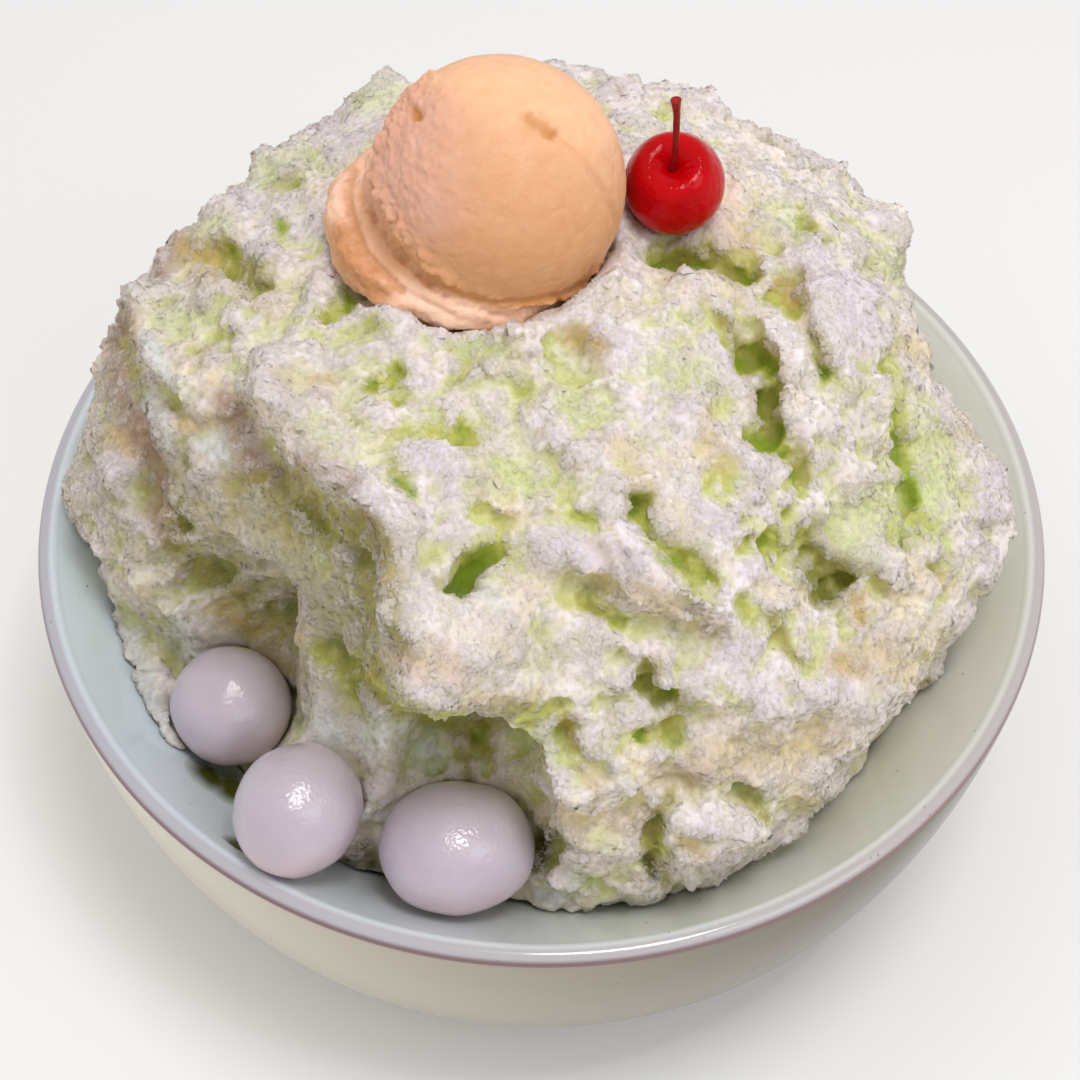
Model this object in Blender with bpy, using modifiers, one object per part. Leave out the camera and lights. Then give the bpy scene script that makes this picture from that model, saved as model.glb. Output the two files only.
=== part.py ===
"""Bowl of shaved ice with a ball of ice cream, a cherry and three rice dumplings.

Metres, +Z up. The origin is the centre of the foot ring, on the table. The front, where the
dumplings lie, faces -Y. Angles are in degrees, azimuth from +X towards +Y.
"""

import math

import bpy
from mathutils import Vector

# Stoneware bowl: outer wall on a superellipse, wide bevel inside the lip, low foot ring
RIM_R = 0.115
RIM_H = 0.093
WALL_DEPTH = 0.088
WALL_FALL = 1.81
WALL_FULLNESS = 7.23
LIP_R = 0.0025
BEVEL_DEG = 50.0
BEVEL_R = 0.089
INNER_DRAFT = 0.002
FLOOR_T = 0.008
CORNER_R = 0.026
FOOT_OUT_R = 0.056
FOOT_IN_R = 0.047
FOOT_ROUND = 0.0012
FOOT_RECESS = 0.0035
WALL_STEPS = 11
BOWL_STEPS = 48

# Clear gap between pieces that touch. A seat cut in the ice is a little wider, as its facets are flat
GAP = 0.0003
SEAT_GAP = 0.00045

# Heap of shaved ice: a full dome about the centre of the rim, with lumps and hollows
HEAP_R = 0.099
HEAP_H = 0.084
HEAP_FULLNESS = 2.2
HEAP_FILL = 0.060
HEAP_SEGMENTS = 54
HEAP_RINGS = 33

# Each lump or hollow: azimuth, elevation, height (a hollow is negative), reach in degrees
LUMPS = {
    "left_shoulder": (174, 27, 0.005, 14),
    "left_brow": (150, 42, 0.002, 12),
    "behind_ball": (114, 42, 0.002, 12),
    "left_block": (-162, 34, 0.004, 9),
    "left_gully": (-150, 26, -0.007, 10),
    "left_foot": (-174, 2, 0.010, 11),
    "ridge_head": (-150, 50, 0.004, 10),
    "ridge_bend": (-124, 48, 0.005, 11),
    "ridge_back": (-107, 42, 0.005, 10),
    "ridge_nose": (-102, 29, 0.008, 9),
    "long_hollow": (-130, 24, -0.017, 15),
    "low_hollow": (-117, 12, -0.011, 12),
    "left_bay": (-142, -4, -0.023, 15),
    "front_bay": (-101, -3, -0.020, 11),
    "front_arch": (-87, 24, -0.004, 8),
    "front_clump": (-71, 8, 0.004, 8),
    "middle_bulge": (-72, 50, 0.004, 13),
    "ball_seat": (-100, 72, -0.004, 16),
    "cherry_pit": (-14, 70, -0.006, 9),
    "right_brow": (-48, 70, 0.005, 9),
    "right_knob": (-50, 17, 0.003, 7),
    "right_pit": (-47, 33, -0.007, 7),
    "right_vein": (-26, 35, -0.005, 7),
    "right_crown": (-6, 52, 0.005, 11),
    "right_bank": (-10, 10, 0.007, 12),
    "right_notch": (10, 21, -0.013, 12),
    "right_ear": (26, 32, 0.004, 9),
    "right_bay": (-37, -8, -0.009, 12),
    "back_brow": (30, 36, 0.002, 12),
    "back_bank": (85, 24, 0.004, 16),
    "back_gully": (68, 32, -0.006, 9),
    "back_foot": (125, 8, -0.006, 12),
}

# Ball of ice cream and the skirt it was pressed out with
BALL_R = 0.024
BALL_AT = Vector((-0.009, 0.001, 0.1862))
SKIRT_SIZE = Vector((0.028, 0.027, 0.011))
SKIRT_AT = Vector((-0.015, 0.003, 0.175))

# Cherry, tipped towards the front, with a dimple that the stem stands in
CHERRY_R = 0.0099
CHERRY_AT = Vector((0.0248, 0.0085, 0.1803))
CHERRY_AXIS = Vector((-0.14, -0.37, 0.92)).normalized()
DIMPLE_DEPTH = 0.30
DIMPLE_REACH = 0.42
STEM_R = 0.00055
STEM_KNOB_R = 0.0009
STEM_TIP = Vector((0.0233, 0.0036, 0.2050))

# Rice dumplings: centre, semi-axes, turn about the vertical
DUMPLINGS = {
    "dumpling_left": (Vector((-0.0670, -0.0525, 0.0836)), Vector((0.0128, 0.0132, 0.0126)), 25),
    "dumpling_middle": (Vector((-0.0479, -0.0857, 0.0989)), Vector((0.0127, 0.0138, 0.0132)), -28),
    "dumpling_right": (Vector((-0.0164, -0.0898, 0.0910)), Vector((0.0158, 0.0138, 0.0125)), 8),
}

ICE = (0.90, 0.93, 0.84)
GLAZE = (0.72, 0.79, 0.77)
ICE_CREAM = (0.95, 0.74, 0.48)
CHERRY_RED = (0.62, 0.01, 0.02)
STEM_RED = (0.28, 0.02, 0.02)
DUMPLING = (0.86, 0.80, 0.84)


def clear_scene():
    for item in list(bpy.data.objects):
        bpy.data.objects.remove(item, do_unlink=True)


def new_collection(name):
    group = bpy.data.collections.new(name)
    bpy.context.scene.collection.children.link(group)
    return group


def coat(item, colour, roughness):
    """Give a piece its own material."""
    material = bpy.data.materials.new(item.name)
    material.use_nodes = True
    shader = material.node_tree.nodes["Principled BSDF"]
    shader.inputs["Base Color"].default_value = (*colour, 1.0)
    shader.inputs["Roughness"].default_value = roughness
    shader.inputs["Metallic"].default_value = 0.0
    item.data.materials.append(material)


def move_to(item, group):
    for other in list(item.users_collection):
        other.objects.unlink(item)
    group.objects.link(item)


def finish(item, name, group):
    """Name a piece, file it and shade it smooth but for its sharp edges."""
    item.name = name
    item.data.name = name
    move_to(item, group)
    item.data.shade_smooth()
    item.data.set_sharp_from_angle(angle=math.radians(50))


def turned(name, profile, steps, group):
    """Turn an open profile of (radius, height) points about the vertical axis."""
    mesh = bpy.data.meshes.new(name)
    points = [(radius, 0.0, height) for radius, height in profile]
    edges = [(i, i + 1) for i in range(len(points) - 1)]
    mesh.from_pydata(points, edges, [])
    item = bpy.data.objects.new(name, mesh)
    group.objects.link(item)
    screw = item.modifiers.new("turn", "SCREW")
    screw.axis = "Z"
    screw.steps = steps
    screw.render_steps = steps
    screw.use_merge_vertices = True
    screw.merge_threshold = 0.00005
    screw.use_smooth_shade = True
    return item


def arc(centre, radius, start, end, count):
    """Points on an arc of a profile, both ends included."""
    points = []
    for i in range(count + 1):
        angle = math.radians(start + (end - start) * i / count)
        points.append((centre[0] + radius * math.cos(angle), centre[1] + radius * math.sin(angle)))
    return points


def outer_wall():
    """Outside of the bowl from under the lip down to its foot, along a superellipse."""
    last = math.acos((FOOT_OUT_R / RIM_R) ** (WALL_FULLNESS / 2))
    points = []
    for i in range(1, WALL_STEPS + 1):
        turn = last * i / WALL_STEPS
        depth = WALL_DEPTH * math.sin(turn) ** (2 / WALL_FALL)
        points.append((RIM_R * math.cos(turn) ** (2 / WALL_FULLNESS), RIM_H - depth))
    return points


def bevel_start():
    """Where the rounding of the lip runs into the bevel."""
    turn = math.radians(90 + BEVEL_DEG)
    return RIM_R - LIP_R + LIP_R * math.cos(turn), RIM_H - LIP_R + LIP_R * math.sin(turn)


def inner_profile():
    """Inside of the bowl from the middle of its floor up to the lip."""
    lip_r, lip_h = bevel_start()
    bevel_h = lip_h - (lip_r - BEVEL_R) * math.tan(math.radians(BEVEL_DEG))
    floor_h = RIM_H - WALL_DEPTH + FLOOR_T
    corner = arc((BEVEL_R - INNER_DRAFT - CORNER_R, floor_h + CORNER_R), CORNER_R, -90, 0, 5)
    return [(0.0, floor_h)] + corner + [(BEVEL_R, bevel_h), (lip_r, lip_h)]


def bowl_profile():
    """Whole section, from the middle of the floor over the lip and down to the foot ring."""
    lip = arc((RIM_R - LIP_R, RIM_H - LIP_R), LIP_R, 90 + BEVEL_DEG, 0, 5)
    foot = arc((FOOT_OUT_R - FOOT_ROUND, FOOT_ROUND), FOOT_ROUND, 0, -90, 2)
    foot += arc((FOOT_IN_R + FOOT_ROUND, FOOT_ROUND), FOOT_ROUND, 270, 180, 2)
    foot += [(FOOT_IN_R - FOOT_ROUND, FOOT_RECESS), (0.0, FOOT_RECESS)]
    return inner_profile()[:-1] + lip + outer_wall() + foot


def make_bowl(group):
    bowl = turned("bowl", bowl_profile(), BOWL_STEPS, group)
    coat(bowl, GLAZE, 0.25)
    finish(bowl, "bowl", group)
    return bowl


def sphere(segments, rings):
    """A round primitive at the origin with a radius of one."""
    bpy.ops.mesh.primitive_uv_sphere_add(segments=segments, ring_count=rings, radius=1.0)
    return bpy.context.object


def ellipsoid(size, at, segments, rings, turn=0.0):
    item = sphere(segments, rings)
    turn = math.radians(turn)
    for vertex in item.data.vertices:
        x, y, z = vertex.co.x * size.x, vertex.co.y * size.y, vertex.co.z * size.z
        vertex.co = (x * math.cos(turn) - y * math.sin(turn), x * math.sin(turn) + y * math.cos(turn), z)
    item.location = at
    return item


def heap_radius(direction):
    """Distance from the centre of the rim to the surface of the ice in a direction."""
    flat = math.hypot(direction.x, direction.y)
    up = abs(direction.z)
    if direction.z >= 0:
        power = (flat / HEAP_R) ** HEAP_FULLNESS + (up / HEAP_H) ** HEAP_FULLNESS
        radius = power ** (-1 / HEAP_FULLNESS)
    else:
        radius = HEAP_R + HEAP_FILL * (1 - flat)
    for azimuth, elevation, height, reach in LUMPS.values():
        azimuth, elevation = math.radians(azimuth), math.radians(elevation)
        towards = Vector((
            math.cos(elevation) * math.cos(azimuth),
            math.cos(elevation) * math.sin(azimuth),
            math.sin(elevation),
        ))
        away = math.degrees(direction.angle(towards))
        radius += height * math.exp(-(away / reach) ** 2)
    return radius


def cut(item, cutter, operation):
    boolean = item.modifiers.new(cutter.name, "BOOLEAN")
    boolean.operation = operation
    boolean.solver = "EXACT"
    boolean.object = cutter


def hide(item, name, group):
    """Make a piece a cutter that isn't part of the model."""
    item.name = name
    move_to(item, group)
    item.hide_render = True
    item.display_type = "WIRE"
    return item


def make_ball(group, cutters):
    ball = ellipsoid(Vector((BALL_R, BALL_R, BALL_R)), BALL_AT, 26, 14)
    skirt = hide(ellipsoid(SKIRT_SIZE, SKIRT_AT, 26, 10), "skirt_join", cutters)
    coat(ball, ICE_CREAM, 0.5)
    finish(ball, "ice_cream_scoop", group)
    cut(ball, skirt, "UNION")
    return ball


def cherry_shape(radius, segments, rings):
    """Round fruit with a dimple, standing on the origin's +Z and then tipped to its axis."""
    item = sphere(segments, rings)
    tip = Vector((0, 0, 1)).rotation_difference(CHERRY_AXIS)
    for vertex in item.data.vertices:
        angle = vertex.co.angle(Vector((0, 0, 1)))
        dimple = DIMPLE_DEPTH * math.exp(-(angle / DIMPLE_REACH) ** 2)
        vertex.co = tip @ (vertex.co.normalized() * radius * (1 - dimple))
    item.location = CHERRY_AT
    return item


def make_cherry(group):
    cherry = cherry_shape(CHERRY_R, 20, 14)
    coat(cherry, CHERRY_RED, 0.1)
    finish(cherry, "cherry", group)
    return cherry


def make_stem(group):
    """Thin stalk from the dimple, with a thicker end, as a tube on a curve."""
    foot = CHERRY_AT + CHERRY_AXIS * (CHERRY_R * (1 - DIMPLE_DEPTH) + GAP)
    rise = STEM_TIP - foot
    curve = bpy.data.curves.new("cherry_stem", "CURVE")
    curve.dimensions = "3D"
    curve.bevel_depth = 1.0
    curve.bevel_resolution = 1
    curve.use_fill_caps = True
    line = curve.splines.new("POLY")
    stations = (0.0, 0.08, 0.35, 0.65, 0.92, 1.0)
    line.points.add(len(stations) - 1)
    for point, along in zip(line.points, stations):
        lean = Vector((0.0004, -0.0004, 0.0)) * math.sin(math.pi * along)
        point.co = (*(foot + rise * along + lean), 1.0)
        point.radius = STEM_KNOB_R if along > 0.9 else STEM_R
    tube = bpy.data.objects.new("stem_curve", curve)
    group.objects.link(tube)
    bpy.context.view_layer.update()
    mesh = bpy.data.meshes.new_from_object(tube.evaluated_get(bpy.context.evaluated_depsgraph_get()))
    stem = bpy.data.objects.new("cherry_stem", mesh)
    group.objects.link(stem)
    weld = stem.modifiers.new("weld", "WELD")
    weld.merge_threshold = 0.00001
    bpy.data.objects.remove(tube, do_unlink=True)
    coat(stem, STEM_RED, 0.4)
    finish(stem, "cherry_stem", group)
    return stem


def make_dumplings(group):
    for name, (at, size, turn) in DUMPLINGS.items():
        dumpling = ellipsoid(size, at, 20, 12, turn)
        coat(dumpling, DUMPLING, 0.2)
        finish(dumpling, name, group)


def make_ice(group, cutters):
    """The heap, cut to the inside of the bowl and round everything that is set into it."""
    ice = sphere(HEAP_SEGMENTS, HEAP_RINGS)
    for vertex in ice.data.vertices:
        direction = vertex.co.normalized()
        vertex.co = direction * heap_radius(direction)
    ice.location = (0, 0, RIM_H)
    coat(ice, ICE, 0.6)
    finish(ice, "shaved_ice", group)

    inside = [(max(radius - SEAT_GAP, 0.0), height + SEAT_GAP) for radius, height in inner_profile()]
    top = [(0.0, RIM_H + HEAP_R), (inside[-1][0], RIM_H + HEAP_R)]
    plug = turned("bowl_inside", top + inside[::-1], BOWL_STEPS, cutters)
    cut(ice, hide(plug, "bowl_inside", cutters), "INTERSECT")

    room = Vector((SEAT_GAP, SEAT_GAP, SEAT_GAP))
    ball = Vector((BALL_R, BALL_R, BALL_R)) + room
    cut(ice, hide(ellipsoid(ball, BALL_AT, 26, 14), "ball_seat", cutters), "DIFFERENCE")
    cut(ice, hide(ellipsoid(SKIRT_SIZE + room, SKIRT_AT, 26, 10), "skirt_seat", cutters), "DIFFERENCE")
    cherry = Vector((CHERRY_R, CHERRY_R, CHERRY_R)) + room
    cut(ice, hide(ellipsoid(cherry, CHERRY_AT, 20, 14), "cherry_seat", cutters), "DIFFERENCE")
    for name, (at, size, turn) in DUMPLINGS.items():
        seat = ellipsoid(size + room, at, 20, 12, turn)
        cut(ice, hide(seat, name + "_seat", cutters), "DIFFERENCE")
    return ice


clear_scene()
parts = new_collection("bowl_of_shaved_ice")
tools = new_collection("cutters")
make_bowl(parts)
make_ice(parts, tools)
make_ball(parts, tools)
make_cherry(parts)
make_stem(parts)
make_dumplings(parts)
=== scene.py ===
"""Looks of a bowl of shaved ice with green syrup, a ball of ice cream, a cherry and rice dumplings.

Metres, +Z up. The origin is the centre of the foot ring, on the table, and the dumplings lie
towards -Y. Places named in pixels are those of the 1080-pixel picture the camera takes.
"""

import math

import bpy
import numpy as np
from mathutils import Matrix, Vector, noise
from mathutils.bvhtree import BVHTree


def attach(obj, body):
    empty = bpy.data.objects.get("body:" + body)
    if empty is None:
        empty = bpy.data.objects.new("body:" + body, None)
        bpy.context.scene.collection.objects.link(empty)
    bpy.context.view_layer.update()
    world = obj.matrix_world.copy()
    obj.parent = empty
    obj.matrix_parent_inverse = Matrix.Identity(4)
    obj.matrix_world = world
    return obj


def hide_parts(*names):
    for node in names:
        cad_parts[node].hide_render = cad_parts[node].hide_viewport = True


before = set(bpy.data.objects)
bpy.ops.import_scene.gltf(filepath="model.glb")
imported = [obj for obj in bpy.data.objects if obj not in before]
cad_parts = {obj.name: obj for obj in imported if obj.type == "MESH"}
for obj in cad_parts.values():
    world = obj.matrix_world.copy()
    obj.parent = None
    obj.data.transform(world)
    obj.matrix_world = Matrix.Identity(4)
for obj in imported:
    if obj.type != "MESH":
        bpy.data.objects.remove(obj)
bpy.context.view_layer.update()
# With a seed of its own, the noise is the same in every run
NOISE_SEED = 4
noise.seed_set(NOISE_SEED)

# ---------------------------------------------------------------------------------------------
# Camera: held in front of the bowl and looking down into it, with a slight roll. Its rays also
# find the places on the ice that are named by pixel further down.
CAMERA_AT = Vector((-0.00038, -0.25409, 0.42131))
CAMERA_DOWN = math.radians(53.8)
CAMERA_ROLL = math.radians(0.75)
CAMERA_LENS = 60.0
SENSOR = 36.0
PICTURE = 1080
FOCAL = PICTURE * CAMERA_LENS / SENSOR

view_forward = Vector((0, math.cos(CAMERA_DOWN), -math.sin(CAMERA_DOWN)))
view_level_up = Vector((0, math.sin(CAMERA_DOWN), math.cos(CAMERA_DOWN)))
view_right = Vector((math.cos(CAMERA_ROLL), 0, 0)) + view_level_up * math.sin(CAMERA_ROLL)
view_up = view_level_up * math.cos(CAMERA_ROLL) - Vector((math.sin(CAMERA_ROLL), 0, 0))


def placed_object(name, data):
    """An object of a mesh, curve, lamp or lens, in the scene."""
    made = bpy.data.objects.new(name, data)
    bpy.context.scene.collection.objects.link(made)
    return made


lens = bpy.data.cameras.new("camera")
lens.lens = CAMERA_LENS
lens.sensor_width = SENSOR
lens.clip_start = 0.01
camera = placed_object("camera", lens)
turned = Matrix((view_right, view_up, -view_forward)).transposed()
camera.matrix_world = Matrix.Translation(CAMERA_AT) @ turned.to_4x4()
bpy.context.scene.camera = camera
bpy.context.scene.view_settings.view_transform = "Standard"


def picture_ray(x, y):
    """Direction from the camera through a pixel of the picture."""
    half = PICTURE / 2
    ray = view_forward + view_right * ((x - half) / FOCAL) - view_up * ((y - half) / FOCAL)
    return ray.normalized()


# ---------------------------------------------------------------------------------------------
# Studio: a pale floor under an even sky, a soft lamp high above the heap, a weaker cool one in
# front, and a small weak one that makes the crisp glints of wet things.
FLOOR_SIZE = 6.0
KEY_AT, KEY_SIZE, KEY_POWER = Vector((0.12, -0.14, 1.0)), 0.28, 3.1
FILL_AT, FILL_SIZE, FILL_POWER = Vector((0.55, -0.45, 0.80)), 0.5, 1.3
GLINT_AT, GLINT_SIZE, GLINT_POWER = Vector((0.20, -0.22, 0.95)), 0.02, 0.26
SKY = 0.73


def srgb(red, green, blue):
    """A colour read as 0 to 255 on screen, as a shader takes it."""
    steps = [c / 255 for c in (red, green, blue)]
    return (*[c / 12.92 if c <= 0.04045 else ((c + 0.055) / 1.055) ** 2.4 for c in steps], 1.0)


def deselect():
    for item in list(bpy.context.selected_objects):
        item.select_set(False)


def soft_lamp(name, at, size, power, colour):
    lamp = bpy.data.lights.new(name, "AREA")
    lamp.shape = "DISK"
    lamp.size = size
    lamp.energy = power
    lamp.color = colour
    stand = placed_object(name, lamp)
    stand.location = at
    stand.rotation_mode = "QUATERNION"
    stand.rotation_quaternion = (Vector((0, 0, 0.12)) - at).to_track_quat("-Z", "Y")


def new_finish(name):
    """A material with its node tree and its shader."""
    material = bpy.data.materials.new(name)
    material.use_nodes = True
    return material, material.node_tree, material.node_tree.nodes["Principled BSDF"]


def add_node(tree, kind, settings=None, **sockets):
    """One node of a finish, with its settings and the values of its sockets."""
    made = tree.nodes.new("ShaderNode" + kind)
    for name, value in (settings or {}).items():
        setattr(made, name, value)
    for name, value in sockets.items():
        made.inputs[name.replace("_", " ")].default_value = value
    return made


def wire(*links):
    """Link nodes: from a node, its output, to a node and its input."""
    for start, out, end, into in links:
        start.id_data.links.new(start.outputs[out], end.inputs[into])


deselect()
bpy.ops.mesh.primitive_plane_add(size=FLOOR_SIZE, location=(0, 0, 0))
floor = bpy.context.object
floor.name = "floor"
floor_finish, floor_tree, floor_shader = new_finish("matt_white_board")
floor_shader.inputs["Base Color"].default_value = srgb(240, 240, 240)
floor_shader.inputs["Roughness"].default_value = 0.8
floor_grain = add_node(floor_tree, "TexNoise", Scale=220.0, Detail=3.0)
floor_place = add_node(floor_tree, "TexCoord")
floor_bump = add_node(floor_tree, "Bump", Strength=0.05, Distance=0.001)
wire(
    (floor_place, "Object", floor_grain, "Vector"), (floor_grain, "Fac", floor_bump, "Height"),
    (floor_bump, "Normal", floor_shader, "Normal"),
)
floor.data.materials.append(floor_finish)

soft_lamp("key", KEY_AT, KEY_SIZE, KEY_POWER, (1.0, 0.975, 0.955))
soft_lamp("glint", GLINT_AT, GLINT_SIZE, GLINT_POWER, (1.0, 0.98, 0.96))
soft_lamp("fill", FILL_AT, FILL_SIZE, FILL_POWER, (0.90, 0.95, 1.0))
sky = bpy.data.worlds.new("even_sky")
bpy.context.scene.world = sky
sky.use_nodes = True
sky.node_tree.nodes["Background"].inputs["Color"].default_value = (1.0, 0.985, 0.975, 1.0)
sky.node_tree.nodes["Background"].inputs["Strength"].default_value = SKY

# ---------------------------------------------------------------------------------------------
# Bowl: heavy stoneware, turned, with a full round wall, a wide bevel inside the lip and a low
# foot ring. It is dipped in a pale celadon glaze that thins to a brown line along the lip, over a
# khaki cream outside.
RIM_R, RIM_H = 0.115, 0.093
WALL_DEPTH, WALL_FALL, WALL_FULLNESS = 0.088, 1.81, 7.23
LIP_R, BEVEL_DEG, BEVEL_R, BEVEL_END_R, BEVEL_EASE = 0.0025, 50.0, 0.089, 0.1102, 0.0004
INNER_R, CORNER_R, FLOOR_H, FLOOR_R, AXIS_R = 0.087, 0.026, 0.013, 0.03, 0.0005
FOOT_OUT_R, FOOT_IN_R, FOOT_ROUND, FOOT_RECESS = 0.056, 0.047, 0.0012, 0.0035
TURNS = 240
WALL_STEPS = 40
SPECK = srgb(96, 92, 84)
# Colours inside, on top of the lip, along its outer edge and outside, on the left and on the right.
# They hold painted light and shade: the left is painted lit, bluish inside and pale outside, and
# the right is painted in deep shade outside.
GLAZE_LEFT_LIT = (srgb(212, 225, 236), srgb(178, 177, 186), srgb(122, 92, 98), srgb(222, 214, 194))
GLAZE_RIGHT_SHADED = (srgb(220, 223, 220), srgb(180, 174, 174), srgb(126, 96, 96), srgb(80, 66, 44))
ZONES = ((0.0, 0), (0.32, 0), (0.40, 1), (0.52, 1), (0.58, 2), (0.66, 2), (0.72, 3))


def arc(centre_r, centre_h, radius, start, end, steps):
    """Points on an arc of a profile, both ends included."""
    made = []
    for i in range(steps + 1):
        angle = math.radians(start + (end - start) * i / steps)
        made.append((centre_r + radius * math.cos(angle), centre_h + radius * math.sin(angle)))
    return made


def bevel_height(radius):
    """Height of the bevel inside the lip, at a distance from the axis."""
    turn = math.radians(90 + BEVEL_DEG)
    lip_r = RIM_R - LIP_R + LIP_R * math.cos(turn)
    lip_h = RIM_H - LIP_R + LIP_R * math.sin(turn)
    return lip_h - (lip_r - radius) * math.tan(math.radians(BEVEL_DEG))


def pick(piece):
    """Make one piece the only one selected, and the active one."""
    deselect()
    piece.select_set(True)
    bpy.context.view_layer.objects.active = piece


def face_outwards(merge=0.0):
    """Turn the faces of the picked piece outwards, after joining corners closer than the merge."""
    bpy.ops.object.mode_set(mode="EDIT")
    bpy.ops.mesh.select_all(action="SELECT")
    if merge:
        bpy.ops.mesh.remove_doubles(threshold=merge)
    bpy.ops.mesh.normals_make_consistent(inside=False)
    bpy.ops.object.mode_set(mode="OBJECT")


inside_line = [(AXIS_R, FLOOR_H), (FLOOR_R, FLOOR_H)]
inside_line += arc(INNER_R - CORNER_R, FLOOR_H + CORNER_R, CORNER_R, -90, 0, 12)
inside_line += [(BEVEL_R - BEVEL_EASE, bevel_height(BEVEL_R) - 0.001)]
inside_line += [(BEVEL_R + BEVEL_EASE, bevel_height(BEVEL_R + BEVEL_EASE))]
inside_line += [(r, bevel_height(r)) for r in np.linspace(BEVEL_R + 0.003, BEVEL_END_R, 8)]
lip_line = arc(RIM_R - LIP_R, RIM_H - LIP_R, LIP_R, 90 + BEVEL_DEG, 0, 14)
last_turn = math.acos((FOOT_OUT_R / RIM_R) ** (WALL_FULLNESS / 2))
outside_line = []
for i in range(1, WALL_STEPS + 1):
    turn = last_turn * i / WALL_STEPS
    drop = WALL_DEPTH * math.sin(turn) ** (2 / WALL_FALL)
    outside_line.append((RIM_R * math.cos(turn) ** (2 / WALL_FULLNESS), RIM_H - drop))
foot_line = arc(FOOT_OUT_R - FOOT_ROUND, FOOT_ROUND, FOOT_ROUND, 0, -90, 5)
foot_line += arc(FOOT_IN_R + FOOT_ROUND, FOOT_ROUND, FOOT_ROUND, 270, 180, 5)
foot_line += [(FOOT_IN_R - FOOT_ROUND, FOOT_RECESS), (AXIS_R, FOOT_RECESS)]
bowl_line = inside_line + lip_line + outside_line + foot_line

bowl_mesh = bpy.data.meshes.new("glazed_bowl")
bowl_mesh.from_pydata(
    [(r, 0.0, h) for r, h in bowl_line], [(i, i + 1) for i in range(len(bowl_line) - 1)], []
)
glazed_bowl = placed_object("glazed_bowl", bowl_mesh)
pick(glazed_bowl)
bpy.ops.object.mode_set(mode="EDIT")
bpy.ops.mesh.select_all(action="SELECT")
bpy.ops.mesh.spin(steps=TURNS, angle=2 * math.pi, center=(0, 0, 0), axis=(0, 0, 1))
bpy.ops.mesh.select_all(action="SELECT")
bpy.ops.mesh.remove_doubles(threshold=0.00001)
bpy.ops.mesh.select_all(action="DESELECT")
bpy.ops.mesh.select_non_manifold()
bpy.ops.mesh.edge_face_add()
face_outwards()
bpy.ops.object.shade_smooth_by_angle(angle=math.radians(40))

# How far along the section a point lies: 0 inside, 1 on top of the lip, 2 on the outer edge, 3 outside
bowl_points = np.array([v.co for v in bowl_mesh.vertices])
bowl_r = np.hypot(bowl_points[:, 0], bowl_points[:, 1])
bowl_h = bowl_points[:, 2]
over_lip = np.degrees(np.arctan2(bowl_h - (RIM_H - LIP_R), bowl_r - (RIM_R - LIP_R)))
on_lip = (bowl_h > RIM_H - LIP_R) & (bowl_r > RIM_R - 2.2 * LIP_R)
outline_r = np.array([r for r, h in outside_line])
outline_h = np.array([h for r, h in outside_line])
is_outside = bowl_r > np.interp(bowl_h, outline_h[::-1], outline_r[::-1]) - 0.0006
is_outside |= (bowl_h < 0.006) & ~on_lip
section_at = np.where(on_lip, 1 + np.clip((110 - over_lip) / 110, 0, 1), np.where(is_outside, 3.0, 0.0))
section_layer = bowl_mesh.attributes.new("section", "FLOAT", "POINT")
section_layer.data.foreach_set("value", section_at.astype(np.float32))

glaze, glaze_tree, glaze_shader = new_finish("celadon_glaze")
glaze_place = add_node(glaze_tree, "TexCoord")
glaze_section = add_node(glaze_tree, "Attribute", {"attribute_name": "section"})
glaze_side = add_node(glaze_tree, "SeparateXYZ")
# The glaze's colours go across the bowl from the painted lit left to the painted shaded right
glaze_across = add_node(glaze_tree, "MapRange", From_Min=-0.085, From_Max=0.075)
glaze_mixed = add_node(glaze_tree, "Mix", {"data_type": "RGBA"})
glaze_ramps = []
for colours in (GLAZE_LEFT_LIT, GLAZE_RIGHT_SHADED):
    ramp = add_node(glaze_tree, "ValToRGB")
    stops = ramp.color_ramp.elements
    stops[0].position, stops[0].color = 0.0, colours[0]
    stops[1].position, stops[1].color = 1.0, colours[3]
    for position, zone in ZONES[1:]:
        stops.new(position).color = colours[zone]
    glaze_ramps.append(ramp)
glaze_coat = add_node(glaze_tree, "MapRange", From_Min=0.62, From_Max=0.72, To_Min=0.4, To_Max=0.0)
glaze_shine = add_node(glaze_tree, "MapRange", From_Min=0.62, From_Max=0.72, To_Min=0.5, To_Max=0.15)
glaze_third = add_node(glaze_tree, "Math", {"operation": "DIVIDE"})
glaze_third.inputs[1].default_value = 3.0
glaze_wave = add_node(glaze_tree, "TexNoise", Scale=60.0, Detail=2.0)
glaze_specks = add_node(glaze_tree, "TexVoronoi", Scale=420.0)
speck_size = add_node(glaze_tree, "ValToRGB")
speck_size.color_ramp.elements[0].position, speck_size.color_ramp.elements[0].color = 0.05, (1, 1, 1, 1)
speck_size.color_ramp.elements[1].position, speck_size.color_ramp.elements[1].color = 0.16, (0, 0, 0, 1)
speck_rare = add_node(glaze_tree, "TexNoise", Scale=190.0, Detail=1.0)
speck_few = add_node(glaze_tree, "Math", {"operation": "GREATER_THAN"})
speck_few.inputs[1].default_value = 0.66
speck_mask = add_node(glaze_tree, "Math", {"operation": "MULTIPLY"})
glaze_speckled = add_node(glaze_tree, "Mix", {"data_type": "RGBA"})
glaze_speckled.inputs[7].default_value = SPECK
glaze_bump = add_node(glaze_tree, "Bump", Strength=0.25, Distance=0.0006)
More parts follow.
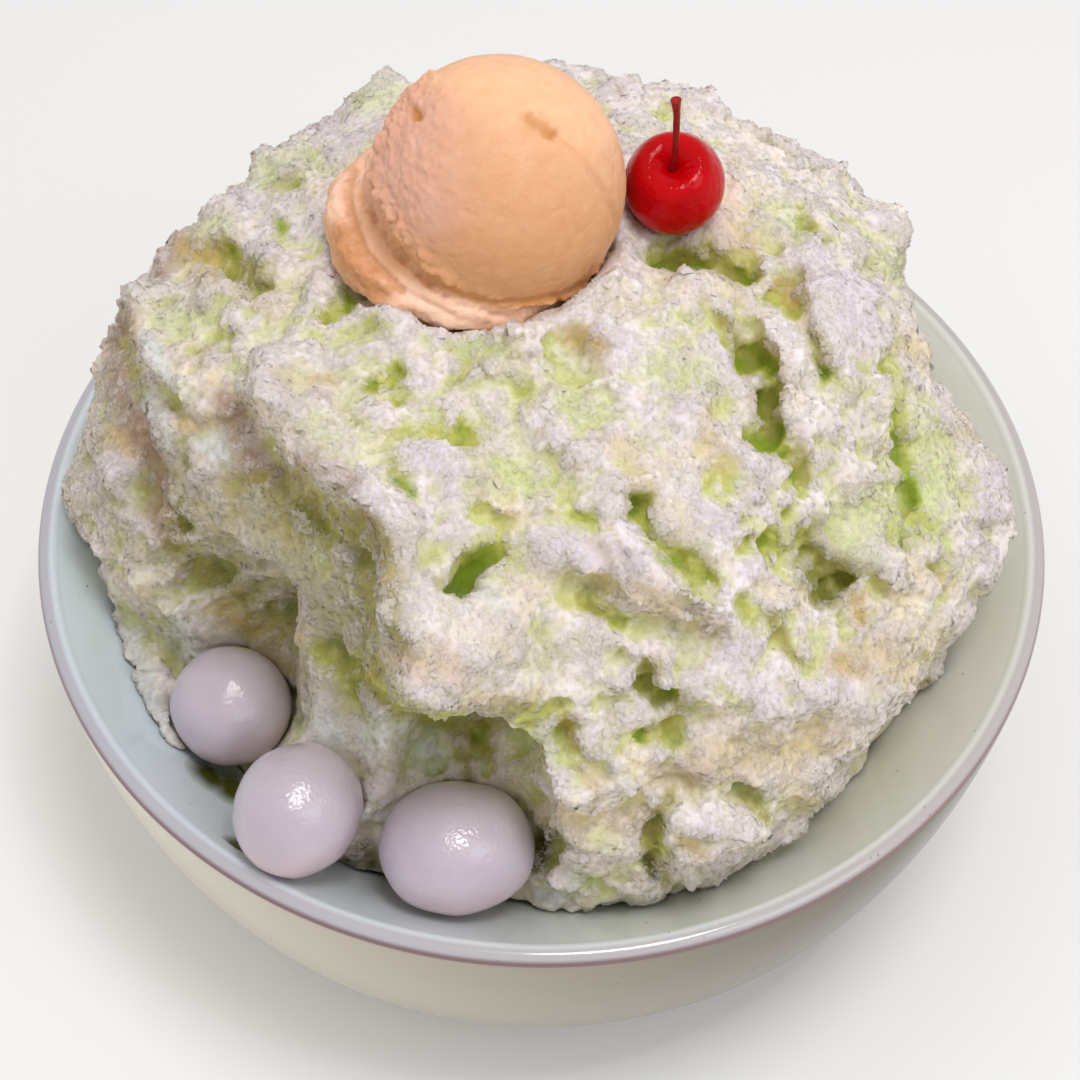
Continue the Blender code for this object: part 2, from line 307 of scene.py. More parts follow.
wire(
    (glaze_place, "Object", glaze_wave, "Vector"), (glaze_place, "Object", glaze_specks, "Vector"),
    (glaze_place, "Object", speck_rare, "Vector"), (glaze_place, "Object", glaze_side, 0),
    (glaze_section, "Fac", glaze_third, 0), (glaze_third, 0, glaze_coat, "Value"),
    (glaze_third, 0, glaze_shine, "Value"), (glaze_coat, "Result", glaze_shader, "Coat Weight"),
    (glaze_shine, "Result", glaze_shader, "Specular IOR Level"),
    (glaze_third, 0, glaze_ramps[0], "Fac"), (glaze_third, 0, glaze_ramps[1], "Fac"),
    (glaze_side, "X", glaze_across, "Value"), (glaze_across, "Result", glaze_mixed, 0),
    (glaze_ramps[0], "Color", glaze_mixed, 6), (glaze_ramps[1], "Color", glaze_mixed, 7),
    (glaze_specks, "Distance", speck_size, "Fac"), (speck_rare, "Fac", speck_few, 0),
    (speck_size, "Color", speck_mask, 0), (speck_few, 0, speck_mask, 1),
    (speck_mask, 0, glaze_speckled, 0), (glaze_mixed, 2, glaze_speckled, 6),
    (glaze_speckled, 2, glaze_shader, "Base Color"),
    (glaze_wave, "Fac", glaze_bump, "Height"), (glaze_bump, "Normal", glaze_shader, "Normal"),
)
glaze_shader.inputs["Roughness"].default_value = 0.16
glaze_shader.inputs["Coat Roughness"].default_value = 0.06
bowl_mesh.materials.append(glaze)
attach(glazed_bowl, "root")
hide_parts("bowl")

# ---------------------------------------------------------------------------------------------
# Shaved ice: snow shaved from a block, heaped by hand and drenched with green syrup, which has
# eaten hollows into it and lies deepest in them. The lumps, ridges, steps and hollows that stand
# out are made one by one; finer ones follow, down to what is finer than rice.
CORE_CUT = 0.070
COARSE_STEP, MIDDLE_STEP, FINE_STEP, FINEST_STEP = 0.0018, 0.0011, 0.00085, 0.00060
HEAP_TRIANGLES = 197000
TOPPING_GAP = 0.0004
RIDGE_SPREAD, LUMP_SPREAD, HOLLOW_SPREAD, HOLLOW_SINK = 1.25, 1.35, 1.4, 0.00078
STRAY_WAVES, EDGE_WAVE = ((8, 3.2), (3.2, 1.3)), (3.5, 5)
WALL_GAP = 0.0005
SIGHT_FLARE, SIGHT_UNIT = 0.10, 0.013

# Spheroids the ice stays clear of: centre, semi-axes, and how far towards the camera and upwards
TOPPINGS = {
    "ball": ((-0.009, 0.001, 0.1862), (0.024, 0.024, 0.024), 0.003, 0),
    "skirt": ((-0.015, 0.003, 0.175), (0.028, 0.027, 0.011), 0, 0),
    "cherry": ((0.0248, 0.0085, 0.1803), (0.0099, 0.0099, 0.0099), 0.010, 0),
    "dumpling_left": ((-0.0670, -0.0525, 0.0836), (0.0130, 0.0130, 0.0126), 0.036, 0.024),
    "dumpling_middle": ((-0.0479, -0.0857, 0.0989), (0.0130, 0.0136, 0.0132), 0.020, 0.024),
    "dumpling_right": ((-0.0164, -0.0898, 0.0910), (0.0158, 0.0138, 0.0125), 0.030, 0.030),
}

# Lumps: pixel, radius in pixels, height in millimetres
LUMPS = {
    "boulder_behind_ball": (378, 98, 36, 5.0), "crumbly_knob": (324, 124, 18, 3.0),
    "green_brow": (278, 160, 32, 4.0), "brow_step": (304, 186, 22, 2.5), "left_hump": (190, 223, 26, 4.0),
    "left_hump_low": (222, 238, 20, 2.5), "pale_ridge": (279, 256, 22, 3.0),
    "shoulder_head": (148, 300, 32, 4.5), "shoulder_crest": (166, 360, 24, 3.0),
    "inner_knob": (215, 297, 22, 2.5), "inner_knob_low": (235, 315, 20, 2.5),
    "shoulder_ball": (201, 382, 24, 3.5), "green_slab": (307, 333, 24, 2.5),
    "between_chunk": (362, 806, 20, 3.5), "green_boulder": (396, 334, 34, 5.5),
    "skirt_boulder": (530, 354, 28, 4.5), "white_block": (160, 425, 24, 3.0),
    "block_chip": (209, 470, 18, 2.5), "left_foot_lump": (118, 474, 28, 3.0),
    "foot_chip": (157, 592, 22, 2.5), "foot_chip_inner": (208, 610, 19, 2.0),
    "foot_chip_low": (177, 630, 16, 1.5), "nose": (440, 642, 60, 8.5), "nose_lobe": (424, 690, 28, 3.5),
    "nose_cheek": (500, 662, 34, 4.0), "centre_top_lump": (694, 292, 42, 4.0),
    "right_lavender_lump": (841, 310, 52, 5.0), "right_white_block": (884, 389, 24, 3.0),
    "right_block_low": (859, 477, 24, 2.5), "grey_patch": (806, 497, 26, 2.0),
    "right_smooth_lump": (880, 558, 34, 3.5), "centre_right_lump": (785, 596, 26, 3.0),
    "centre_lump": (503, 610, 26, 3.0), "centre_smooth_lump": (556, 533, 32, 3.5),
    "small_lobe": (611, 671, 18, 2.5), "tiny_lobe": (577, 696, 14, 1.5), "cream_lump": (910, 630, 28, 3.0),
    "low_knob": (836, 693, 30, 4.0), "right_foot_knob": (933, 668, 18, 2.5),
    "edge_lump": (992, 477, 24, 3.0), "edge_lump_low": (1000, 522, 20, 2.5),
    "edge_foot": (990, 563, 22, 2.5), "feathery_clump": (706, 838, 42, 6.0),
    "clump_tip": (704, 876, 22, 2.0), "front_foot_knob": (635, 882, 16, 2.5),
    "front_foot_lump": (564, 877, 24, 3.0), "front_foot_tip": (538, 899, 16, 2.0),
    "top_right_peak": (700, 112, 24, 4.0), "top_peak_left": (640, 100, 26, 3.0),
    "far_right_peak": (786, 152, 24, 4.0), "far_right_knob": (824, 172, 22, 3.0),
    "right_corner": (890, 222, 28, 4.0), "above_right_knob": (600, 320, 26, 2.5),
    "middle_brow": (520, 350, 34, 3.0),
}

# Ridges: width in pixels, height in millimetres, and the pixels they run through
RIDGES = {
    "ball_bank": (14, 3.5, ((606, 300), (628, 272), (640, 246))),
    "skirt_bank": (20, 3.0, ((356, 304), (400, 318), (440, 334), (486, 343), (532, 337), (580, 318),
                             (616, 288))),
    "main_ridge": (30, 5.0, ((268, 361), (268, 392), (317, 438), (348, 482), (386, 502), (399, 533),
                             (401, 597), (424, 640))),
    "arch": (20, 3.0, ((400, 440), (435, 454), (470, 470))),
    "right_ridge": (20, 3.5, ((772, 325), (790, 350), (790, 400), (800, 430))),
    "finger": (20, 4.5, ((615, 546), (666, 592), (717, 604), (730, 617))),
    "lower_finger": (18, 3.0, ((704, 686), (748, 699), (783, 716))),
    "front_arch": (16, 4.0, ((553, 762), (564, 793), (592, 798), (617, 788), (625, 772))),
    "front_rib": (16, 2.5, ((574, 711), (597, 744))),
    "clump_arm": (18, 3.5, ((676, 812), (720, 812), (757, 823))),
    "shoulder_edge": (18, 2.5, ((150, 300), (159, 353), (177, 374), (201, 392))),
    "top_back_ridge": (22, 3.0, ((620, 100), (660, 100), (700, 112))),
    "centre_rib": (20, 2.5, ((540, 380), (560, 430), (600, 470), (640, 480))),
    "right_rib": (18, 2.5, ((690, 400), (720, 450), (760, 470))),
}

# Hollows: half width in pixels, depth in millimetres, how much syrup has gathered in them, and the
# pixels they run through
HOLLOWS = {
    "outline_top_left": (24, 5.0, 0, ((140, 246), (152, 232))),
    "outline_brow": (34, 10.0, 0, ((184, 176), (206, 158), (226, 142))),
    "outline_knob": (22, 7.0, 0, ((276, 116), (296, 102))),
    "outline_right": (34, 13.0, 0, ((862, 158), (886, 184))),
    "outline_top_right": (28, 8.0, 0, ((800, 122), (832, 142))),
    "outline_foot": (26, 5.0, 0, ((784, 856), (812, 842), (838, 826))),
    "outline_ear": (24, 5.0, 0, ((958, 366), (972, 388))),
    "outline_left": (32, 5.0, 0, ((60, 536), (78, 572))),
    "under_ball_left": (12, 4.0, 1.0, ((332, 233),)),
    "under_skirt": (11, 3.0, 1.0, ((340, 288), (350, 302))),
    "brow_pit": (10, 2.5, 0.8, ((278, 218), (283, 230))),
    "olive_bay": (20, 3.5, 0.6, ((186, 248), (205, 256), (243, 272), (256, 284))),
    "brow_gap": (11, 2.0, 0.5, ((270, 184), (294, 182))),
    "slab_gap": (10, 2.5, 0.6, ((296, 318), (330, 306))),
    "knob_gap": (10, 2.5, 0.6, ((226, 332), (256, 344))),
    "shoulder_gap": (12, 2.5, 0.5, ((190, 352), (222, 338))),
    "ridge_pits": (9, 2.6, 0.8, ((366, 380), (384, 376), (404, 390), (412, 410))),
    "arch_pit": (12, 2.5, 0.8, ((404, 438), (432, 432), (462, 440))),
    "arch_slit": (9, 4.0, 1.0, ((402, 478), (412, 496))),
    "bright_hole": (17, 10.0, 1.5, ((490, 550), (472, 562), (462, 590))),
    "centre_pit": (12, 2.6, 0.9, ((576, 516), (600, 530))),
    "centre_pit_low": (12, 2.6, 0.7, ((594, 606), (614, 618))),
    "valley": (12, 3.4, 0.9, ((640, 498), (646, 528), (662, 552), (680, 562), (701, 584))),
    "lower_bay": (13, 3.2, 0.8, ((644, 672), (655, 690), (685, 702))),
    "lower_bay_deep": (13, 3.2, 0.9, ((648, 738), (672, 744))),
    "rib_pit": (14, 3.5, 1.0, ((532, 722), (556, 706))),
    "arch_hole": (12, 3.0, 0.7, ((566, 728), (576, 752))),
    "ochre_hollow": (24, 5.0, 0.7, ((672, 262), (700, 254), (728, 266))),
    "groove": (10, 3.4, 0.9, ((724, 322), (734, 350), (760, 358), (776, 366))),
    "brown_pit": (14, 3.5, 0.4, ((782, 288), (798, 308))),
    "lump_pit": (11, 3.0, 0.8, ((808, 216), (824, 234))),
    "lump_foot": (12, 3.0, 0.8, ((818, 352), (838, 380))),
    "right_bay": (18, 4.5, 0.9, ((770, 404), (766, 434), (784, 446))),
    "right_slit": (12, 3.4, 0.8, ((790, 440), (800, 458), (806, 480), (796, 496))),
    "rib_foot": (11, 2.6, 0.8, ((716, 484), (744, 508), (752, 526))),
    "right_green_bay": (14, 3.5, 1.0, ((750, 546), (776, 536))),
    "grey_foot": (11, 3.0, 0.8, ((812, 538), (828, 548))),
    "great_pit": (26, 5.0, 0.6, ((812, 556), (826, 582), (832, 600))),
    "ochre_pit": (13, 3.0, 0.3, ((852, 612), (860, 628))),
    "streak": (9, 3.0, 0.8, ((774, 622), (788, 652), (800, 664))),
    "finger_shade": (12, 3.5, 0.8, ((744, 618), (776, 624))),
    "vein": (9, 3.0, 1.3, ((896, 372), (902, 404), (903, 436), (908, 480), (914, 520))),
    "vein_pool": (14, 2.0, 1.4, ((906, 470), (912, 504))),
    "cream_gap": (11, 3.0, 0.7, ((888, 532), (906, 542))),
    "edge_gap": (10, 3.0, 0.7, ((930, 566), (946, 576))),
    "grey_hole": (10, 3.0, 0.4, ((974, 594), (990, 598))),
    "left_pit_deep": (11, 4.5, 1.0, ((176, 504), (182, 536))),
    "niche_rim": (40, 13.0, 0.4, ((180, 590), (220, 584), (254, 600), (280, 640))),
    "ledge_rim": (32, 11.0, 0.3, ((424, 744), (470, 740), (520, 750))),
    "left_valley": (20, 4.0, 0.85, ((206, 566), (236, 592), (262, 612), (288, 630))),
    "nose_shade": (14, 3.0, 0.8, ((366, 560), (362, 610))),
    "nose_foot": (22, 4.0, 1.2, ((330, 650), (352, 664), (372, 690))),
    "nose_under": (13, 4.0, 1.0, ((384, 704), (410, 722), (440, 726))),
    "chin_band": (12, 3.0, 0.8, ((452, 740), (460, 776))),
    "black_hole": (14, 10.0, 0.9, ((552, 838), (540, 860))),
    "front_gap": (10, 3.0, 0.8, ((590, 884), (600, 894))),
    "clump_crack": (11, 6.5, 1.05, ((660, 820), (652, 845), (650, 870))),
    "clump_hollow": (12, 2.5, 0.2, ((686, 844), (702, 850))),
    "behind_clump": (13, 4.0, 0.9, ((740, 796), (764, 816))),
}

# Steps, where the ice drops away from an edge: rise on the high side and drop on the low side in
# millimetres, reach of both in pixels, and the pixels of the edge. Going along them, the low side
# is on the right.
STEPS = {
    "ridge_top": (2.0, 3.5, 30, 28, ((335, 348), (292, 334), (262, 345), (250, 368))),
    "main_wall": (3.5, 10.0, 46, 74, (
        (256, 352), (254, 385), (270, 425), (298, 465), (335, 494), (372, 514), (387, 548), (384, 600),
        (376, 645), (384, 678), (402, 700), (432, 714), (468, 711), (505, 702), (545, 704))),
    "shoulder_wall": (2.0, 6.0, 26, 34, ((122, 300), (133, 330), (146, 362), (170, 390), (196, 408))),
    "block_wall": (1.5, 5.5, 20, 30, ((136, 396), (150, 420), (160, 450), (166, 485), (164, 520))),
    "bay_edge": (2.0, 5.5, 26, 32, ((264, 294), (234, 290), (212, 277), (190, 284), (162, 292))),
    "finger_top": (2.0, 4.5, 22, 34, ((742, 612), (702, 599), (668, 568), (640, 546), (624, 512),
                                      (622, 478))),
    "finger_foot": (2.0, 5.0, 20, 46, ((560, 556), (598, 584), (640, 606), (690, 624), (738, 632))),
    "great_pit_edge": (1.5, 6.0, 20, 34, ((868, 570), (856, 596), (830, 611), (804, 602), (790, 575))),
    "clump_left": (2.0, 6.0, 22, 18, ((690, 798), (673, 812), (667, 842), (674, 872), (694, 892))),
    "clump_top": (1.5, 3.5, 22, 18, ((768, 816), (738, 802), (704, 796), (680, 806))),
    "arch_edge": (2.0, 4.5, 20, 36, ((546, 762), (556, 798), (592, 809), (624, 799), (664, 801))),
    "under_cherry": (2.0, 5.5, 26, 30, ((768, 288), (732, 287), (706, 268), (682, 276), (652, 264))),
    "lavender_edge": (2.0, 4.0, 30, 22, ((798, 250), (803, 300), (818, 342), (838, 372))),
    "right_ridge_edge": (2.0, 5.0, 20, 34, ((748, 304), (770, 342), (782, 375), (779, 410), (792, 446))),
    "knob_foot": (1.5, 4.0, 26, 40, ((700, 742), (750, 728), (800, 722), (850, 716), (886, 722))),
    "rib_foot": (1.5, 4.0, 18, 26, ((600, 640), (640, 660), (664, 690), (700, 706), (740, 716))),
    "valley_edge": (1.0, 3.0, 16, 22, ((458, 500), (500, 512), (545, 506), (590, 508))),
    "far_right_edge": (1.5, 3.5, 22, 24, ((905, 250), (880, 262), (868, 300), (880, 345))),
    "cream_edge": (1.5, 3.5, 24, 20, ((868, 560), (892, 590), (930, 596), (960, 580))),
}

# Slush at the foot of the heap, that lies on the bowl: pixel and radius in millimetres
SLUSH = (
    (130, 600, 6.5), (138, 634, 7.0), (146, 666, 7.0), (154, 698, 7.0), (166, 724, 6.0), (180, 744, 5.0),
    (96, 500, 4.0), (150, 600, 5.5), (168, 640, 6.0), (530, 880, 3.5), (556, 893, 4.2), (585, 888, 4.5),
    (632, 876, 4.5), (672, 880, 4.0), (700, 872, 4.5), (724, 864, 4.2), (744, 848, 4.5), (766, 824, 4.5),
    (600, 890, 4.0), (650, 872, 4.0), (790, 806, 4.5), (830, 792, 4.5), (858, 770, 4.5), (880, 728, 4.5),
    (940, 672, 4.5), (962, 612, 4.5), (990, 570, 4.0), (92, 520, 4.0), (106, 560, 4.5), (340, 760, 5.0),
    (362, 800, 4.5),
)

ice_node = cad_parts["shaved_ice"]


def read_points(mesh):
    flat = np.empty(len(mesh.vertices) * 3, np.float32)
    mesh.vertices.foreach_get("co", flat)
    return flat.reshape(-1, 3).astype(float)


def read_normals(mesh):
    flat = np.empty(len(mesh.vertices) * 3, np.float32)
    mesh.vertex_normals.foreach_get("vector", flat)
    return flat.reshape(-1, 3).astype(float)


def write_points(mesh, points):
    mesh.vertices.foreach_set("co", points.astype(np.float32).ravel())
    mesh.update()


def remesh(piece, step):
    """Lay an even skin of small squares over a piece."""
    skin = piece.modifiers.new("skin", "REMESH")
    skin.mode = "VOXEL"
    skin.voxel_size = step
    bpy.context.view_layer.objects.active = piece
    bpy.ops.object.modifier_apply(modifier=skin.name)
    return piece.data, read_points(piece.data)


def smooth_field(mesh, values, rounds):
    """Spread values over the neighbours of each vertex, a number of times."""
    edges = np.empty(len(mesh.edges) * 2, np.int32)
    mesh.edges.foreach_get("vertices", edges)
    first, second = edges.reshape(-1, 2).T
    size = len(mesh.vertices)
    share = 1 / np.maximum(np.bincount(first, minlength=size) + np.bincount(second, minlength=size), 1)
    values = values.reshape(size, -1).copy()
    for _ in range(rounds):
        for column in range(values.shape[1]):
            line = values[:, column]
            total = np.bincount(first, line[second], size) + np.bincount(second, line[first], size)
            values[:, column] = 0.5 * line + 0.5 * total * share
    return values


def beside_toppings(points, gap):
    """For each topping, the nearest places on its lines to the camera and upwards, and the radii away."""
    for centre, size, forth, up in TOPPINGS.values():
        centre = np.array(centre)
        for way, reach in (((CAMERA_AT - Vector(centre)).normalized(), forth), (Vector((0, 0, 1)), up)):
            along = np.clip((points - centre) @ np.array(way), 0, reach)
            nearest = centre + along[:, None] * np.array(way)
            room = (np.array(size) + gap) * (1 + SIGHT_FLARE * along / SIGHT_UNIT)[:, None]
            yield nearest, np.linalg.norm((points - nearest) / room, axis=1)


def clear_of_toppings(points):
    """Distance in metres of each point from the nearest topping, negative inside it."""
    clear = np.full(len(points), 1.0)
    for nearest, scaled in beside_toppings(points, 0):
        away = np.linalg.norm(points - nearest, axis=1)
        clear = np.minimum(clear, (scaled - 1) * away / np.maximum(scaled, 0.2))
    return clear


def keep_in_place(points):
    """Hold the ice off the toppings and inside the wall of the bowl."""
    for nearest, scaled in beside_toppings(points, TOPPING_GAP):
        inside = scaled < 1
        away = points[inside] - nearest[inside]
        points[inside] = nearest[inside] + away / np.maximum(scaled[inside], 0.2)[:, None]
    radius = np.hypot(points[:, 0], points[:, 1])
    slope = math.tan(math.radians(BEVEL_DEG))
    wall = BEVEL_R + (points[:, 2] - bevel_height(BEVEL_R)) / slope
    wall = np.clip(wall, INNER_R, RIM_R - 2 * LIP_R) - WALL_GAP
    wall = np.where(points[:, 2] > RIM_H + 0.001, 1.0, wall)
    squeeze = np.minimum(1, wall / np.maximum(radius, 1e-6))
    points[:, :2] *= squeeze[:, None]
    return points


def heap_tree():
    bpy.context.view_layer.update()
    return BVHTree.FromObject(ice_heap, bpy.context.evaluated_depsgraph_get())


def on_ice(tree, x, y):
    """Place on the ice seen at a pixel, or the nearest one to that line of sight."""
    ray = picture_ray(x, y)
    at, _, _, _ = tree.ray_cast(CAMERA_AT, ray)
    if at is None:
        best = 1.0
        for reach in np.arange(0.25, 0.50, 0.004):
            near, _, _, away = tree.find_nearest(CAMERA_AT + ray * float(reach))
            if away < best:
                at, best = near, away
    return at


def pixels_at(at):
    """Size of one pixel of the picture at a place, in metres."""
    return (at - CAMERA_AT).dot(view_forward) / FOCAL


def picture_place(points):
    """Pixel of the picture at which each point is seen."""
    off = points - np.array(CAMERA_AT)
    depth = off @ np.array(view_forward)
    across = PICTURE / 2 + FOCAL * (off @ np.array(view_right)) / depth
    down = PICTURE / 2 - FOCAL * (off @ np.array(view_up)) / depth
    return across, down


def along_line(across, down, line):
    """Distance in pixels from a line, the side of it, and how far along the line."""
    near = np.full(len(across), 1e9)
    side = np.zeros(len(across))
    along = np.zeros(len(across))
    gone = 0.0
    for (ax, ay), (bx, by) in zip(line, line[1:] or line):
        run = max(math.dist((ax, ay), (bx, by)), 1e-6)
        dx, dy = (bx - ax) / run, (by - ay) / run
        t = np.clip((across - ax) * dx + (down - ay) * dy, 0, run)
        away = np.hypot(across - ax - t * dx, down - ay - t * dy)
        nearer = away < near
        near = np.where(nearer, away, near)
        side = np.where(nearer, dx * (down - ay) - dy * (across - ax), side)
        along = np.where(nearer, gone + t, along)
        gone += run
    return near, np.sign(side), along / gone


def step_down(points, wave, place, rise, drop, reach_up, reach_down, line):
    """Part the ice along an edge, along the line of sight."""
    near, side, along = along_line(*place, line)
    signed = side * near + wave
    taper = np.clip(np.minimum(along, 1 - along) / 0.16, 0, 1)
    sight = points - np.array(CAMERA_AT)
    distance = np.linalg.norm(sight, axis=1)
    taper = taper * (distance < distance[near < 12].min() + 0.06)
    low = np.clip(signed / 4, 0, 1) * np.exp(-((signed / reach_down) ** 2) * 1.3)
    high = np.where(signed <= 0, np.exp(-((signed / reach_up) ** 2) * 1.3), 0.0)
    points += sight / distance[:, None] * ((low * drop - high * rise) * 0.001 * taper)[:, None]


def cloudy_field(points, size, roughness, octaves, shift=(0, 0, 0)):
    """A value for each point that drifts in clouds of a size in millimetres."""
    places = [Vector(spot) / size + Vector(shift) for spot in points * 1000]
    return np.array([noise.fractal(place, roughness, 2.0, octaves) for place in places])


def nudged(spot, waves):
    """A place moved about by waves of noise, each with its size and its reach in millimetres."""
    moved = spot.copy()
    for size, reach in waves:
        moved += noise.noise_vector(spot / size) * reach
    return moved


def stray(points):
    """The points moved about by a few millimetres, so that what is pressed by them is uneven."""
    return np.array([nudged(Vector(spot), STRAY_WAVES) for spot in points * 1000]) / 1000


def distance_from(points, places):
    """Distance of each point from a line through places."""
    away = np.full(len(points), 1.0)
    for start, end in zip(places, places[1:] or places):
        start, end = np.array(start), np.array(end)
        span = end - start
        along = np.clip((points - start) @ span / max(span @ span, 1e-12), 0, 1)
        away = np.minimum(away, np.linalg.norm(points - start - along[:, None] * span, axis=1))
    return away


def press(points, moved, normals, tree, line, spread, height):
    """Raise or sink the ice round the places seen along a line of pixels."""
    places = [on_ice(tree, x, y) for x, y in line]
    middle = places[len(places) // 2]
    way = normals[np.linalg.norm(points - np.array(middle), axis=1) < 0.006].sum(axis=0)
    way /= max(np.linalg.norm(way), 1e-9)
    dome = np.clip(1 - (distance_from(moved, places) / (spread * pixels_at(middle))) ** 2, 0, 1) ** 1.5
    points += dome[:, None] * (height * way)


def on_glaze(x, y):
    """Place on the bevel inside the lip that is seen at a pixel."""
    ray = picture_ray(x, y)
    reach = 0.30
    for _ in range(40):
        at = CAMERA_AT + ray * reach
        reach += 0.5 * (at.z - bevel_height(math.hypot(at.x, at.y)))
    return at


def lay_strokes(tint, place, ragged, seen, strokes, colours):
    """Lay strokes of colour over the tints of the points that are seen."""
    for colour, lines in strokes.items():
        for strength, width, line in lines.values():
            near = (along_line(*place, line)[0] + ragged) / width
            share = np.clip(strength * np.exp(-np.clip(near, 0, None) ** 3) * seen, 0, 1)[:, None]
            tint = tint * (1 - share) + np.array(colours[colour][:3]) * share
    return tint


def hold_tint(mesh, tint):
    """Keep a colour for each point of a mesh, for its finish to read."""
    layer = mesh.attributes.new("tint", "FLOAT_COLOR", "POINT")
    layer.data.foreach_set("color", np.column_stack([tint, np.ones(len(tint))]).astype(np.float32).ravel())


def cut_ice(name, height, above):
    """A copy of the ice's solid, welded and cut level, of which one side is kept."""
    made = placed_object(name, ice_node.data.copy())
    made.data.materials.clear()
    pick(made)
    bpy.ops.object.mode_set(mode="EDIT")
    bpy.ops.mesh.select_all(action="SELECT")
    bpy.ops.mesh.remove_doubles(threshold=0.00002)
    bpy.ops.mesh.select_all(action="SELECT")
    bpy.ops.mesh.bisect(
        plane_co=(0, 0, height), plane_no=(0, 0, 1), use_fill=True, clear_inner=above, clear_outer=not above
    )
    bpy.ops.object.mode_set(mode="OBJECT")
    return made


ice_heap = cut_ice("ice_heap", CORE_CUT, True)
for x, y, size in SLUSH:
    bpy.ops.mesh.primitive_ico_sphere_add(subdivisions=3, radius=size * 0.001, location=on_glaze(x, y))
    blob = bpy.context.object
    blob.select_set(True)
    ice_heap.select_set(True)
    bpy.context.view_layer.objects.active = ice_heap
    bpy.ops.object.join()

# Lumps and ridges
heap_mesh, points = remesh(ice_heap, COARSE_STEP)
normals = read_normals(heap_mesh)
moved = stray(points)
tree = heap_tree()
for width, height, line in RIDGES.values():
    press(points, moved, normals, tree, line, width * RIDGE_SPREAD, height * 0.001)
for x, y, size, height in LUMPS.values():
    press(points, moved, normals, tree, [(x, y)], size * LUMP_SPREAD, height * 0.001)
write_points(heap_mesh, keep_in_place(points))

# Steps and hollows
heap_mesh, points = remesh(ice_heap, MIDDLE_STEP)
wave = np.array([EDGE_WAVE[1] * noise.noise(Vector(p) / EDGE_WAVE[0]) for p in points * 1000])
place = picture_place(points)
for step in STEPS.values():
    step_down(points, wave, place, *step)
write_points(heap_mesh, points)
normals = read_normals(heap_mesh)
moved = stray(points)
tree = heap_tree()
for width, depth, _, line in HOLLOWS.values():
    press(points, moved, normals, tree, line, width * HOLLOW_SPREAD, -depth * HOLLOW_SINK)
write_points(heap_mesh, keep_in_place(points))

# Finer lumps: clods within clods, with torn crests, rougher in some places than in others
CLOD_SIZES = ((11.0, 2.4), (5.6, 1.8), (2.9, 1.0))
CLOD_WAVES = ((12, 5), (4.5, 1.6))
TORN_SIZE, TORN_HEIGHT = 4.2, 0.45
GNAWED_SIZE, GNAWED_HEIGHT = 9.5, 1.1
PIT_SPACING, PIT_DEPTH, PIT_SHARE = 5.2, 2.0, 0.35
GRAIN_SIZES = ((1.7, 0.50), (0.95, 0.26))
CHURN_SIZE, CHURN_HEIGHT = 1.6, 0.30

# Places that were pressed or have melted smooth: pixel, radius in pixels and how smooth
SMOOTH = {
    "left_slope": (300, 585, 58, 1.0), "melted_foot": (355, 725, 50, 0.9), "nose": (452, 632, 62, 0.65),
    "lavender_lump": (850, 300, 44, 0.9), "right_lump": (880, 558, 30, 0.9),
    "centre_lump": (556, 548, 34, 0.9), "green_boulder": (393, 318, 26, 1.0),
    "far_boulder": (378, 98, 36, 1.0), "cream_side": (935, 490, 20, 0.8), "pale_rib": (690, 525, 24, 0.7),
}


def smoothness(points, tree):
    """How smooth the ice is at each point, from 0 for rough to 1 for melted."""
    amount = np.zeros(len(points))
    for x, y, size, most in SMOOTH.values():
        at = on_ice(tree, x, y)
        away = np.linalg.norm(points - np.array(at), axis=1) / (size * 1.3 * pixels_at(at))
        amount = np.maximum(amount, most * np.exp(-(away**3)))
    return amount


def raise_ice(points, normals, heights):
    """Move the ice along its normals, but not into a topping nor under the lip."""
    room = np.clip(clear_of_toppings(points) / 0.003, 0, 1)
    base = np.clip((points[:, 2] - CORE_CUT - 0.001) / 0.004, 0, 1)
    points += normals * (np.where(heights > 0, heights * room, heights) * base)[:, None]
    return keep_in_place(points)


def clod(place, size):
    """Height of a heap of round clods, from 0 between them to 1 on top."""
    return 1 - min(1.35 * noise.voronoi(place / size)[0][0], 1.0) ** 1.6


heap_mesh, points = remesh(ice_heap, FINE_STEP)
melted = smoothness(points, heap_tree())
shift = np.zeros(len(points))
for i, spot in enumerate(points * 1000):
    spot = Vector(spot)
    warped = nudged(spot, CLOD_WAVES)
    rough = (0.75 + 0.9 * noise.noise(spot / 16 + Vector((40, 0, 0)))) * (1 - 0.8 * melted[i])
    torn = noise.ridged_multi_fractal(warped / TORN_SIZE, 0.8, 2.2, 4, 1.0, 1.8)
    gnawed = noise.ridged_multi_fractal(warped / GNAWED_SIZE + Vector((5, 5, 5)), 0.9, 2.1, 3, 1.0, 1.6)
    pit_far, pit_at = noise.voronoi(warped / PIT_SPACING + Vector((11, 2, 5)))
    chance = math.modf(abs(math.sin(pit_at[0].dot(Vector((12.9, 78.2, 37.7)))) * 437.5))[0]
    size, tall = CLOD_SIZES[0]
    height = (clod(warped, size) - 0.5) * tall * (1 - 0.5 * melted[i])
    for size, tall in CLOD_SIZES[1:]:
        height += (clod(warped + Vector((size, 7, 1)), size) - 0.5) * tall * rough
    height += (torn - 1.1) * TORN_HEIGHT * rough
    height += (gnawed - 1.1) * GNAWED_HEIGHT * (1 - 0.7 * melted[i])
    if chance < PIT_SHARE:
        height -= PIT_DEPTH * (0.4 + 1.2 * chance) * math.exp(-((pit_far[0] / 0.25) ** 2)) * rough
    shift[i] = height * 0.001
write_points(heap_mesh, raise_ice(points, read_normals(heap_mesh), shift))

